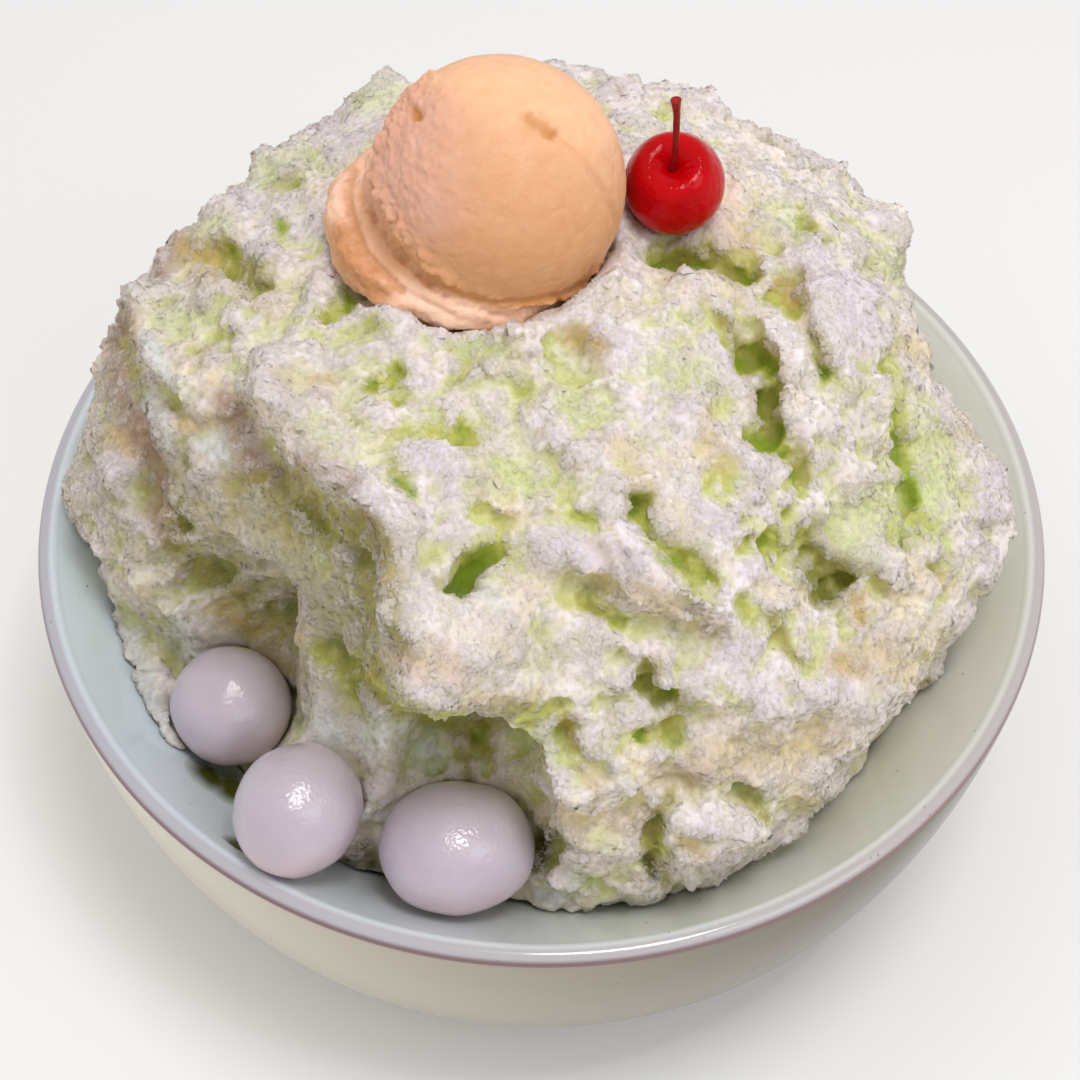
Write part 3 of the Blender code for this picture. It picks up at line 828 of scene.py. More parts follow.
heap_mesh, points = remesh(ice_heap, FINEST_STEP)
melted = smoothness(points, heap_tree())
normals = read_normals(heap_mesh)
bulge = ((points - smooth_field(heap_mesh, points, 14)) * normals).sum(axis=1) * 1000
loose = np.clip(0.55 + 1.2 * bulge, 0.15, 1.5) * (1 - 0.8 * melted)
shift = np.zeros(len(points))
for i, spot in enumerate(points * 1000):
    spot = Vector(spot)
    height = sum((clod(spot, size) - 0.5) * tall for size, tall in GRAIN_SIZES)
    height += CHURN_HEIGHT * noise.turbulence(spot / CHURN_SIZE, 2, True)
    shift[i] = height * 0.001
write_points(heap_mesh, raise_ice(points, normals, shift * loose))

thin = ice_heap.modifiers.new("thin", "DECIMATE")
thin.use_collapse_triangulate = True
thin.ratio = min(1.0, HEAP_TRIANGLES / sum(len(face.vertices) - 2 for face in heap_mesh.polygons))
bpy.ops.object.modifier_apply(modifier=thin.name)
heap_mesh = ice_heap.data
heap_mesh.shade_smooth()
points = read_points(heap_mesh)
normals = read_normals(heap_mesh)

# Syrup: how much of it the ice holds, and its colours. Tints that stand out are laid on as
# strokes: strength, width in pixels and the pixels they run through. Some are painted shade: the
# strokes of shade, faint shade, umber and deep shade darken walls, flanks and holes turned from
# the lamp, and those of beige, olive, moss and grey are partly syrup stain and partly painted shade.
SNOW = srgb(236, 226, 228)
LAVENDER = srgb(228, 216, 230)
BEIGE = srgb(224, 206, 172)
PALE_GREEN = srgb(216, 218, 170)
STAIN_REACH = 1.9
NEAR_ROUNDS, DEEP_ROUNDS = 10, 80
DRIFT_SIZE, PATCHY_SIZE, FLECK_SIZE, CLOUD_SIZE = 26, 8, 2.6, 14
SYRUP_LEVEL, DRIFT_SHARE, PATCHY_SHARE, FLECK_SHARE, HOLLOW_SHARE = 0.20, 0.22, 0.20, 0.16, 0.34
SIGHT_LIFT, SIGHT_STEP = 0.0006, 0.0012
# Painted shade: red, green and blue that the ice's tint loses where it is turned away from the lamp
SHADE_LOSS = (0.0, 0.02, 0.24)
SYRUP_TINTS = (
    (0.10, SNOW), (0.28, srgb(230, 221, 206)), (0.48, PALE_GREEN), (0.84, srgb(202, 202, 130)),
    (1.15, srgb(180, 180, 88)), (1.45, srgb(134, 152, 46)),
)
TINTS = {
    # painted shade on the flanks, walls and foot turned away from the lamp
    "shade": srgb(140, 126, 98),
    # painted faint shade, dimming parts that face away from the lamp
    "faint_shade": srgb(214, 200, 200),
    "white": srgb(244, 236, 238),
    "cloud": srgb(216, 224, 228),
    "lavender": LAVENDER,
    "cream": srgb(242, 228, 202),
    # beige is partly a tan stain and partly painted shade under lumps and ledges
    "beige": srgb(216, 196, 160),
    "blush": srgb(230, 200, 186),
    "ochre": srgb(198, 170, 108),
    # painted shade in umber on walls turned away from the lamp
    "umber_shade": srgb(164, 136, 118),
    # olive and moss are partly syrup and partly painted shade on walls and in deep pits
    "olive": srgb(168, 158, 90),
    "moss": srgb(140, 136, 52),
    "pale": srgb(210, 216, 162),
    "lime": srgb(190, 192, 102),
    "green": srgb(140, 162, 46),
    # grey is partly melted ice and partly painted shade on the slope under the ridge
    "grey": srgb(192, 184, 158),
    # painted deep shade in holes and gaps, olive from the syrup
    "deep_shade": srgb(70, 66, 16),
}
STROKES = {
    "shade": {
        "nose_side": (0.3, 26, ((400, 556), (404, 600), (410, 650))),
        "flank": (0.42, 60, ((110, 470), (200, 520), (270, 580), (320, 640))),
        "flank_high": (0.35, 34, ((96, 340), (130, 420), (180, 490))),
        "valley_side": (0.35, 40, ((330, 530), (372, 600), (350, 700))),
        "foot": (0.25, 40, ((130, 640), (200, 640), (330, 740))),
    },
    "faint_shade": {
        "right_side": (0.3, 30, ((870, 490), (900, 530))), "ridge_top": (0.6, 34, ((270, 380), (320, 420))),
        "centre": (0.5, 30, ((540, 548), (640, 580), (700, 620))),
        "nose": (0.4, 30, ((450, 650), (540, 650))), "low_right": (0.5, 40, ((860, 700), (900, 640))),
        "wall": (0.4, 40, ((700, 770), (820, 760))),
    },
    "white": {
        "shoulder_top": (0.8, 13, ((140, 292), (172, 288), (206, 294))),
        "ridge_top": (0.8, 15, ((252, 350), (285, 345), (310, 360))),
        "ridge_edge": (0.7, 14, ((296, 400), (340, 430), (380, 480), (398, 510))),
        "centre_brow": (0.6, 14, ((640, 290), (690, 285), (710, 292))),
        "right_rib": (0.8, 11, ((770, 322), (800, 345), (812, 400))),
        "clump_crown": (0.8, 16, ((684, 814), (714, 806), (750, 826))),
        "clump_tip": (0.8, 14, ((684, 878), (712, 866), (730, 884))),
        "foot_chips": (0.7, 14, ((148, 574), (168, 596))),
        "arch_rim": (0.8, 11, ((556, 770), (570, 794), (600, 800), (622, 786))),
        "small_lobe": (0.8, 11, ((606, 664), (612, 676))),
        "between_chunk": (0.9, 14, ((350, 800), (370, 812))),
        "nose_white": (0.6, 26, ((420, 606), (450, 620), (490, 668), (540, 690))),
        "knob_white": (0.6, 14, ((816, 690), (850, 700))),
    },
    "cloud": {
        "shoulder_crest": (0.9, 9, ((148, 340), (166, 372), (190, 392))),
        "white_block": (0.9, 12, ((146, 402), (160, 425), (166, 446))),
        "block_low": (0.9, 11, ((204, 444), (226, 456), (216, 430))),
        "melted": (0.8, 22, ((380, 735), (420, 732), (430, 760))),
        "beside_dumpling": (0.7, 16, ((312, 716), (340, 738))),
        "front_foot": (0.8, 12, ((540, 894), (572, 884))),
        "left_foot": (0.8, 16, ((128, 640), (146, 690), (162, 728))),
        "left_foot_inner": (0.7, 14, ((176, 628), (190, 660))),
        "hole_side": (0.6, 12, ((484, 586), (500, 604))),
    },
    "lavender": {
        "behind_ball": (0.8, 15, ((322, 132), (350, 122))),
        "left_hump": (0.8, 12, ((178, 216), (200, 214), (172, 262))),
        "brow_side": (0.8, 10, ((236, 196), (256, 206))),
        "left_lump": (0.8, 16, ((88, 486), (110, 470), (132, 462))),
        "chips": (0.7, 12, ((188, 484), (210, 478), (222, 500))),
        "nose_lobe": (0.8, 12, ((420, 690), (440, 694))),
        "ridge_patch": (0.7, 10, ((366, 500), (380, 512))),
        "right_crown": (0.8, 22, ((812, 262), (850, 284), (872, 330))),
        "right_rib": (0.6, 12, ((794, 360), (806, 390))),
        "centre_lump": (0.7, 18, ((560, 548), (600, 556))),
        "finger_tip": (0.8, 9, ((722, 602), (732, 618))),
        "edge": (0.7, 14, ((1000, 452), (990, 490), (980, 524))),
        "edge_foot": (0.7, 13, ((976, 550), (992, 562))), "low_knob": (0.7, 16, ((838, 684), (850, 706))),
        "clump": (0.5, 16, ((700, 838), (720, 856))),
    },
    "cream": {
        "right_side": (0.9, 24, ((900, 606), (924, 636), (912, 650))),
        "pale_lump": (0.9, 16, ((672, 512), (688, 530))), "front_pale": (0.8, 15, ((634, 762), (652, 778))),
        "nose_cream": (0.8, 11, ((492, 640), (510, 656))), "finger": (0.7, 14, ((770, 590), (800, 602))),
        "shoulder_ball": (0.7, 18, ((190, 376), (212, 384))),
        "top_right": (0.5, 18, ((744, 176), (760, 200))),
    },
    "beige": {
        "centre": (0.8, 12, ((612, 444), (632, 450))), "centre_low": (0.7, 14, ((632, 476), (650, 496))),
        "rib": (0.8, 12, ((706, 412), (712, 436), (724, 466))),
        "right_high": (0.8, 14, ((906, 346), (936, 358))),
        "right_edge": (0.6, 14, ((948, 436), (970, 430))),
        "right_low": (0.8, 15, ((846, 656), (884, 646), (900, 676))),
        "under_knob": (0.9, 22, ((706, 762), (760, 752), (830, 736))),
        "under_right": (0.7, 13, ((926, 572), (950, 584))),
        "arch_hollow": (0.9, 12, ((588, 770), (598, 784))),
        "front_wall": (0.8, 18, ((556, 816), (600, 824), (640, 816))),
        "finger_shade": (0.7, 13, ((600, 584), (650, 598), (700, 628))),
        "melted_edge": (0.8, 8, ((384, 764), (400, 780))),
        "beside_dumpling": (0.8, 14, ((270, 660), (296, 668))),
        "nose_chin": (0.8, 10, ((470, 700), (510, 702), (536, 696))),
    },
    "blush": {
        "beside_cherry": (0.8, 13, ((726, 210), (730, 236), (748, 240))),
        "above_cherry": (0.5, 9, ((732, 160), (734, 186))),
        "nose_pink": (0.8, 14, ((444, 656), (456, 676))), "nose_left": (0.7, 13, ((398, 650), (418, 668))),
        "left_outline": (0.6, 8, ((118, 318), (114, 350))),
    },
    "ochre": {
        "brow_bay": (1.0, 20, ((186, 246), (208, 252), (208, 270))),
        "left_wall": (0.9, 13, ((118, 440), (140, 452))), "tan_recess": (0.9, 10, ((182, 424), (212, 422))),
        "great_side": (1.0, 9, ((856, 598), (862, 622))), "arch_side": (1.0, 9, ((566, 722), (576, 748))),
        "skirt_foot": (1.0, 13, ((572, 336), (598, 344))), "brown_pit": (1.0, 11, ((782, 284), (796, 300))),
        "ridge_pit": (0.8, 6, ((310, 380), (330, 378))), "clump_hollow": (0.9, 9, ((682, 842), (704, 856))),
        "right_ochre": (0.8, 11, ((838, 664), (862, 668))),
        "groove_side": (0.8, 7, ((764, 342), (782, 366))),
        "slope_foot": (0.8, 15, ((226, 612), (262, 634), (296, 636))),
    },
    "umber_shade": {
        "shoulder_wall": (1.0, 15, ((118, 312), (120, 350), (118, 390), (134, 418), (150, 450))),
        "block_wall": (1.0, 14, ((140, 424), (154, 460), (166, 500), (176, 530))),
        "ridge_end": (0.8, 12, ((226, 400), (236, 440), (252, 478))),
        "hump_side": (0.8, 10, ((174, 232), (164, 262), (160, 278))),
        "ridge_wall": (1.0, 15, ((238, 408), (246, 440), (264, 468), (296, 476))),
        "ridge_shade": (0.8, 14, ((312, 458), (350, 482))),
        "wall_low": (0.9, 10, ((362, 512), (386, 552), (388, 590))),
        "left_gap": (0.8, 9, ((150, 506), (160, 540))), "front_shade": (0.6, 14, ((660, 770), (690, 776))),
    },
    "olive": {
        "wall_top": (1.0, 22, ((236, 486), (290, 492), (330, 520), (372, 540))),
        "slope_top": (0.8, 26, ((280, 520), (320, 552))),
        "shoulder_low": (1.0, 8, ((128, 346), (140, 392))),
        "bay_right": (1.0, 12, ((238, 268), (262, 270), (244, 286))),
        "left_valley": (1.0, 14, ((176, 548), (212, 574), (250, 598))),
        "nose_left": (1.0, 9, ((366, 556), (370, 606), (368, 650), (380, 684))),
        "chin": (0.8, 8, ((452, 726), (460, 758), (470, 776))),
        "great_pit": (0.7, 20, ((806, 540), (830, 560), (846, 580))),
        "nose_band": (1.0, 12, ((352, 640), (370, 684), (400, 706), (440, 718), (480, 718), (520, 714),
                                (548, 710))),
        "wall_foot": (0.8, 14, ((388, 560), (392, 610), (396, 640))),
        "right_bay": (1.0, 12, ((772, 398), (770, 430))), "right_slit": (1.0, 11, ((796, 456), (806, 474))),
        "groove": (0.9, 8, ((724, 318), (734, 344), (750, 362))),
        "lump_foot": (0.9, 8, ((814, 330), (826, 356))), "lower_bay": (1.0, 12, ((654, 668), (648, 686))),
        "lower_bay_right": (0.9, 9, ((664, 702), (690, 702))),
        "lower_deep": (0.9, 12, ((658, 730), (676, 722))), "centre_pit": (1.0, 8, ((590, 606), (602, 614))),
        "streak": (1.0, 7, ((772, 616), (788, 648), (800, 662))),
        "right_pit": (0.9, 7, ((920, 654), (928, 660))),
        "clump_left": (1.0, 8, ((668, 800), (652, 820), (650, 852), (668, 884))),
        "clump_right": (0.9, 7, ((742, 790), (766, 818))), "foot_green": (0.8, 7, ((790, 806), (836, 802))),
        "front_dark": (1.0, 10, ((546, 826), (534, 866))), "brow_top": (0.8, 8, ((274, 184), (294, 182))),
        "cherry_foot": (1.0, 11, ((676, 254), (704, 250), (734, 276))),
        "green_edge": (0.6, 9, ((872, 262), (900, 276))),
    },
    "moss": {
        "wall_deep": (0.9, 12, ((300, 510), (330, 534))), "left_pit": (1.0, 11, ((178, 494), (182, 524))),
        "great_deep": (1.0, 13, ((806, 578), (832, 598))),
        "cherry_deep": (1.0, 6, ((666, 262), (676, 270), (694, 258))),
        "black_hole": (1.0, 12, ((546, 842), (534, 862))), "crack_deep": (1.0, 6, ((646, 864), (656, 872))),
        "cheek": (0.8, 5, ((236, 588), (238, 594))),
    },
    "pale": {
        "boulder": (0.8, 20, ((362, 96), (388, 94))), "brow": (0.7, 22, ((262, 170), (300, 160))),
        "bay_mouth": (0.7, 16, ((200, 226), (224, 226))), "left_bowl": (0.7, 16, ((160, 318), (210, 322))),
        "ridge_flank": (0.7, 18, ((312, 420), (330, 440))),
        "top_middle": (0.8, 16, ((470, 350), (500, 352))), "middle": (0.8, 22, ((490, 470), (530, 482))),
        "centre_right": (0.8, 20, ((566, 400), (600, 404))),
        "cool_patch": (0.8, 22, ((660, 366), (700, 372))), "top_right": (0.7, 16, ((770, 214), (790, 222))),
        "far_right": (0.8, 15, ((888, 262), (902, 276))),
        "vein_side": (1.0, 24, ((922, 430), (938, 480), (928, 520), (880, 500))),
        "right_bay": (0.8, 26, ((846, 520), (900, 520))), "great_side": (0.9, 14, ((852, 544), (872, 558))),
        "chin_side": (0.9, 20, ((530, 734), (556, 754))), "front_wall": (0.6, 12, ((598, 838), (612, 846))),
        "foot": (0.6, 12, ((584, 880), (600, 892))),
    },
    "lime": {
        "valley": (1.0, 8, ((646, 498), (644, 524), (658, 546), (672, 560))),
        "valley_pool": (0.9, 10, ((684, 552), (700, 548))),
        "valley_end": (1.0, 9, ((700, 574), (694, 592))), "centre_pit": (1.0, 8, ((574, 514), (588, 526))),
        "right_green": (1.0, 8, ((764, 550), (790, 544))), "rib_foot": (0.8, 8, ((744, 520), (756, 526))),
        "arch": (0.9, 7, ((402, 438), (432, 430), (462, 438), (470, 452))),
        "ridge_pits": (0.8, 8, ((388, 378), (410, 396))), "flank_pit": (1.0, 7, ((356, 424), (364, 424))),
        "boulder_pit": (0.9, 9, ((372, 324), (384, 326))), "middle_pit": (0.9, 8, ((450, 382), (474, 382))),
        "peak": (1.0, 7, ((744, 272), (754, 270))), "top_right": (0.9, 6, ((806, 222), (824, 240))),
        "vein": (1.0, 7, ((896, 372), (903, 418), (905, 450), (908, 478), (914, 520))),
        "lump_green": (0.9, 9, ((842, 388), (856, 388))), "vein_low": (0.7, 14, ((900, 510), (926, 530))),
        "low_green": (0.8, 7, ((892, 530), (902, 542))),
        "nose_under": (1.0, 6, ((384, 688), (400, 702), (424, 714), (446, 720))),
        "chin_green": (1.0, 9, ((524, 722), (546, 712))), "hole": (1.0, 18, ((474, 552), (500, 548))),
        "slope": (0.7, 8, ((318, 556), (328, 572))),
        "left_pool": (0.9, 14, ((318, 650), (338, 672), (352, 662))),
        "arm": (0.8, 6, ((720, 684), (732, 698), (750, 712))), "knob": (0.7, 7, ((862, 446), (872, 442))),
    },
    "green": {
        "hole_deep": (1.0, 11, ((486, 556), (474, 572), (462, 590))),
        "arch_slit": (1.0, 5, ((402, 480), (412, 494))), "vein_pool": (1.0, 8, ((908, 470), (912, 500))),
        "skirt_left": (1.0, 6, ((330, 228), (336, 240))), "skirt_low": (1.0, 7, ((340, 288), (350, 302))),
        "brow_pit": (0.9, 6, ((278, 222), (281, 230))), "bay_foot": (1.0, 7, ((754, 438), (762, 446))),
        "valley_turn": (0.9, 4, ((662, 556), (674, 562))), "rib_hole": (1.0, 6, ((710, 388), (716, 386))),
        "ridge_pit": (0.9, 5, ((372, 382), (374, 386))), "flank_deep": (0.9, 5, ((360, 426), (362, 428))),
        "slope_deep": (0.8, 6, ((318, 548), (326, 566))),
    },
    "deep_shade": {
        "black_hole": (1.0, 13, ((548, 838), (541, 862))), "crack": (0.9, 6, ((648, 858), (654, 878))),
        "beside_middle": (1.0, 15, ((350, 864), (364, 852), (376, 868))),
    },
    "grey": {
        "slope": (0.8, 40, ((290, 580), (330, 600))), "slope_low": (0.7, 22, ((216, 540), (250, 556))),
        "pit": (0.9, 9, ((976, 594), (992, 592))), "pits": (0.8, 6, ((606, 704), (618, 712))),
    },
}

near_hollow = ((smooth_field(heap_mesh, points, NEAR_ROUNDS) - points) * normals).sum(axis=1) * 1000
deep_hollow = ((smooth_field(heap_mesh, points, DEEP_ROUNDS) - points) * normals).sum(axis=1) * 1000
tree = heap_tree()
stain = np.zeros(len(points))
moved = stray(points)
for width, _, amount, line in HOLLOWS.values():
    places = [on_ice(tree, x, y) for x, y in line]
    away = distance_from(moved, places) / (width * STAIN_REACH * pixels_at(places[0]))
    stain = np.maximum(stain, amount * np.exp(-(away**2) * 1.6))
patchy = cloudy_field(points, PATCHY_SIZE, 0.9, 4)
flecks = cloudy_field(points, FLECK_SIZE, 0.8, 3)
drift = np.array([noise.noise(Vector(p) / DRIFT_SIZE + Vector((9, 4, 2))) for p in points * 1000])
hollow = np.clip(near_hollow * 0.8 + deep_hollow * 0.45, -1.2, 2)
syrup = SYRUP_LEVEL + DRIFT_SHARE * drift + PATCHY_SHARE * patchy + FLECK_SHARE * flecks
syrup += HOLLOW_SHARE * hollow
syrup = np.clip(syrup + stain * (0.55 + 0.35 * hollow + 0.25 * patchy), 0, 1.5)
crest = np.clip(0.5 - 0.8 * near_hollow, 0, 1)
steps, colours = zip(*SYRUP_TINTS)
tint = np.stack([np.interp(syrup, steps, [c[k] for c in colours]) for k in range(3)], axis=1)
cloudy = cloudy_field(points, CLOUD_SIZE, 0.9, 3, (3, 1, 7))
for share, colour in ((np.clip(cloudy, 0, 0.6), LAVENDER), (np.clip(-cloudy - 0.1, 0, 0.5), BEIGE)):
    share = (share * np.clip(1.2 - syrup, 0, 1))[:, None]
    tint = tint * (1 - share) + np.array(colour[:3]) * share
back = np.array([(CAMERA_AT - Vector(p)).normalized() for p in points])
seen = (normals * back).sum(axis=1) > -0.1
for i in np.flatnonzero(seen):
    start = Vector(points[i]) + Vector(normals[i]) * SIGHT_LIFT + Vector(back[i]) * SIGHT_STEP
    seen[i] = tree.ray_cast(start, Vector(back[i]), 0.3)[0] is None
seen = smooth_field(heap_mesh, seen.astype(float), 2)[:, 0]
ragged = 5 * patchy + 4 * flecks
tint = lay_strokes(tint, picture_place(points), ragged, seen * (0.8 + 0.4 * flecks), STROKES, TINTS)

shaded = np.clip(0.85 - normals @ np.array(KEY_AT.normalized()), 0, 1)[:, None]
tint *= 1 - shaded * np.array(SHADE_LOSS)
hold_tint(heap_mesh, tint)


def set_looks(shader, looks):
    for name, value in looks.items():
        shader.inputs[name.replace("_", " ")].default_value = value


def food_finish(name, clouds, tones, grains, relief, wet=False, gloss=None, **looks):
    """A food's finish. Clouds run between two tones, or darken the tint its mesh holds by one."""
    material, tree, shader = new_finish(name)
    place = add_node(tree, "TexCoord")
    cloud = add_node(tree, "TexNoise", **clouds)
    grain = add_node(tree, "TexNoise", **grains)
    bump = add_node(tree, "Bump", Strength=relief[0], Distance=relief[1])
    if len(tones) == 2:
        tone = add_node(tree, "ValToRGB")
        for stop, position, colour in zip(tone.color_ramp.elements, (0.3, 0.7), tones):
            stop.position, stop.color = position, colour
        wire((cloud, "Fac", tone, "Fac"), (tone, "Color", shader, "Base Color"))
    else:
        held = add_node(tree, "Attribute", {"attribute_name": "tint"})
        tone = add_node(tree, "Mix", {"data_type": "RGBA", "blend_type": "MULTIPLY"})
        tone.inputs[7].default_value = tones[0]
        wire((cloud, "Fac", tone, 0), (held, "Color", tone, 6), (tone, 2, shader, "Base Color"))
    wire(
        (place, "Object", cloud, "Vector"), (place, "Object", grain, "Vector"),
        (grain, "Fac", bump, "Height"), (bump, "Normal", shader, "Normal"),
    )
    if wet:
        wire((bump, "Normal", shader, "Coat Normal"))
    if gloss:
        shine = add_node(tree, "MapRange", To_Min=gloss[0], To_Max=gloss[1])
        wire((cloud, "Fac", shine, "Value"), (shine, "Result", shader, "Roughness"))
    set_looks(shader, looks)
    return material, cloud, tone, shader


def snow_finish(name, scatter, through):
    """Wet snow tinted by the syrup it holds, and the share of the light that it lets through."""
    material, cloud, tone, shader = food_finish(
        name, {"Scale": 900.0, "Detail": 4.0, "Roughness": 0.65}, [srgb(236, 238, 206)],
        {"Scale": 1500.0, "Detail": 3.0, "Roughness": 0.65}, (0.25, 0.0005), gloss=(0.45, 0.80), IOR=1.31,
        Subsurface_Weight=scatter, Subsurface_Radius=(1.0, 0.95, 0.8), Subsurface_Scale=0.0026
    )
    amount = add_node(material.node_tree, "MapRange", From_Min=0.45, From_Max=0.75)
    glow = add_node(material.node_tree, "BsdfTranslucent")
    both = add_node(material.node_tree, "MixShader", Fac=through)
    wire(
        (cloud, "Fac", amount, "Value"), (amount, "Result", tone, 0), (tone, 2, glow, "Color"),
        (shader, 0, both, 1), (glow, 0, both, 2),
        (both, 0, material.node_tree.nodes["Material Output"], "Surface"),
    )
    return material


snow = snow_finish("syrup_snow", 0.8, 0.0)
heap_mesh.materials.append(snow)
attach(ice_heap, "root")
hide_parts("shaved_ice")

# ---------------------------------------------------------------------------------------------
# Ice under the lip: the same snow, pressed together by the weight of the heap. It fills the bowl
# down to its floor as the lower part of the ice's solid, and nothing of it shows.
ice_below = cut_ice("ice_below", CORE_CUT - 0.0005, False)
hold_tint(ice_below.data, np.tile(PALE_GREEN[:3], (len(ice_below.data.vertices), 1)))
ice_below.data.materials.append(snow)
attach(ice_below, "root")
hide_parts("shaved_ice")

# ---------------------------------------------------------------------------------------------
# Loose grains: shavings and crumbs of snow that lie on the heap and are half sunk in it. Each kind
# is one piece, scattered by area over the heap and thickest on its crests.
GRAIN_KINDS = {
    "ice_powder": (24500, "shard", 0.00020, 0.00034, 0.8),
    "ice_specks": (24500, "shard", 0.00026, 0.00045, 0.8),
    "ice_shavings": (24500, "shard", 0.00034, 0.00062, 0.7),
    "ice_crumbs": (24500, "shard", 0.00040, 0.00075, 0.8),
    "ice_clumps": (9900, "crumb", 0.00050, 0.00100, 0.7),
}
EMBED = -0.28
BLEND = 0.82
UNEVENNESS = 0.9
GRAIN_FOOT = 0.078
GRAIN_SEED = 7


def seed_shape(kind):
    """Corners and triangles of the shape that all grains of a kind are copies of."""
    deselect()
    if kind == "crumb":
        bpy.ops.mesh.primitive_ico_sphere_add(subdivisions=1, radius=1.0)
    else:
        bpy.ops.mesh.primitive_cone_add(vertices=4, radius1=1.0, depth=1.0, end_fill_type="TRIFAN")
    seed = bpy.context.object
    corners = read_points(seed.data)
    if kind == "shard":
        on_axis = np.hypot(corners[:, 0], corners[:, 1]) < 0.1
        corners[:, 2] = np.where(on_axis, 2 * corners[:, 2], 0.0)
    faces = np.array([tuple(face.vertices) for face in seed.data.polygons])
    bpy.data.objects.remove(seed, do_unlink=True)
    return corners, faces


def scatter_grains(name, count, kind, least, most, flatness, rng):
    """Copies of a shape, each squashed, turned and dented in its own way, as one mesh."""
    corners, faces = seed_shape(kind)
    loops = np.empty(len(heap_mesh.polygons) * 3, np.int32)
    heap_mesh.polygons.foreach_get("vertices", loops)
    loops = loops.reshape(-1, 3)
    a, b, c = points[loops[:, 0]], points[loops[:, 1]], points[loops[:, 2]]
    area = np.linalg.norm(np.cross(b - a, c - a), axis=1) / 2
    middle = (a + b + c) / 3
    patch = patchy[loops].mean(axis=1)
    worth = area * np.clip(0.7 + 0.9 * patch, 0.05, 1.5) * (0.15 + crest[loops].mean(axis=1)) ** 1.5
    worth *= 0.6 + 0.8 * seen[loops].mean(axis=1)
    worth *= np.clip(1.5 - syrup[loops].mean(axis=1), 0.12, 1)
    worth[middle[:, 2] < GRAIN_FOOT] = 0
    worth[clear_of_toppings(middle) < most * 0.9] = 0
    chosen = rng.choice(len(loops), count, p=worth / worth.sum())
    mix = rng.dirichlet((1, 1, 1), count)
    at = (points[loops[chosen]] * mix[:, :, None]).sum(axis=1)
    off = (normals[loops[chosen]] * mix[:, :, None]).sum(axis=1)
    off /= np.maximum(np.linalg.norm(off, axis=1), 1e-9)[:, None]
    held = (tint[loops[chosen]] * mix[:, :, None]).sum(axis=1)
    white = (0.08 + 0.42 * (crest[loops[chosen]] * mix).sum(axis=1))[:, None]
    held = held * (1 - white) + np.array(SNOW[:3]) * white
    size = least + (most - least) * rng.random(count) ** 1.6
    turn = np.linalg.qr(rng.normal(size=(count, 3, 3)))[0]
    squash = 1 + (rng.random((count, 1, 3)) - 0.5) * UNEVENNESS
    dented = corners[None] * (1 + (rng.random((count, len(corners), 1)) - 0.5) * UNEVENNESS) * squash
    dented = np.einsum("nij,nkj->nki", turn, dented) * size[:, None, None]
    along = np.einsum("nkj,nj->nk", dented, off)
    dented -= off[:, None, :] * (along * (1 - flatness))[:, :, None]
    placed = dented + (at + off * (size * EMBED)[:, None])[:, None, :]
    mesh = bpy.data.meshes.new(name)
    where = np.arange(count)[:, None, None] * len(corners)
    mesh.from_pydata(placed.reshape(-1, 3), [], (faces[None] + where).reshape(-1, 3))
    mesh.update()
    piece = placed_object(name, mesh)
    hold_tint(mesh, np.repeat(held, len(corners), axis=0))
    pick(piece)
    face_outwards()
    mesh.shade_smooth()
    own = placed - at[:, None, :]
    own /= np.maximum(np.linalg.norm(own, axis=2), 1e-9)[:, :, None]
    facing = (own * (1 - BLEND) + off[:, None, :] * BLEND).reshape(-1, 3)
    mesh.normals_split_custom_set_from_vertices(facing / np.linalg.norm(facing, axis=1)[:, None])
    return piece


grain_rng = np.random.default_rng(GRAIN_SEED)
crumb_snow = snow_finish("loose_snow", 0.0, 0.20)
for name, (count, kind, least, most, flatness) in GRAIN_KINDS.items():
    grains = scatter_grains(name, count, kind, least, most, flatness, grain_rng)
    grains.data.materials.append(crumb_snow)
    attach(grains, "root")

# ---------------------------------------------------------------------------------------------
# Ball of ice cream: dense peach ice cream, turned out of a scoop. The face the scoop polished is
# smooth, and a ragged skirt was pressed out round the edge of the scoop.
BALL_R = 0.024
BALL_AT = Vector((-0.009, 0.001, 0.1862))
SKIRT_SIZE = Vector((0.028, 0.027, 0.011))
SKIRT_AT = Vector((-0.015, 0.003, 0.175))
CREAM_STEP = 0.00042
PEACH = srgb(232, 184, 147)

deselect()
bpy.ops.mesh.primitive_uv_sphere_add(segments=96, ring_count=64, radius=BALL_R, location=BALL_AT)
ball = bpy.context.object
bpy.ops.mesh.primitive_uv_sphere_add(segments=96, ring_count=48, radius=1.0, location=SKIRT_AT)
skirt = bpy.context.object
skirt.scale = SKIRT_SIZE
ball.select_set(True)
bpy.context.view_layer.objects.active = ball
bpy.ops.object.join()
ball.name = "peach_ball"
bpy.ops.object.transform_apply(location=True, rotation=True, scale=True)
remesh(ball, CREAM_STEP)
cream_mesh = ball.data
cream_points = read_points(cream_mesh)
cream_normals = read_normals(cream_mesh)

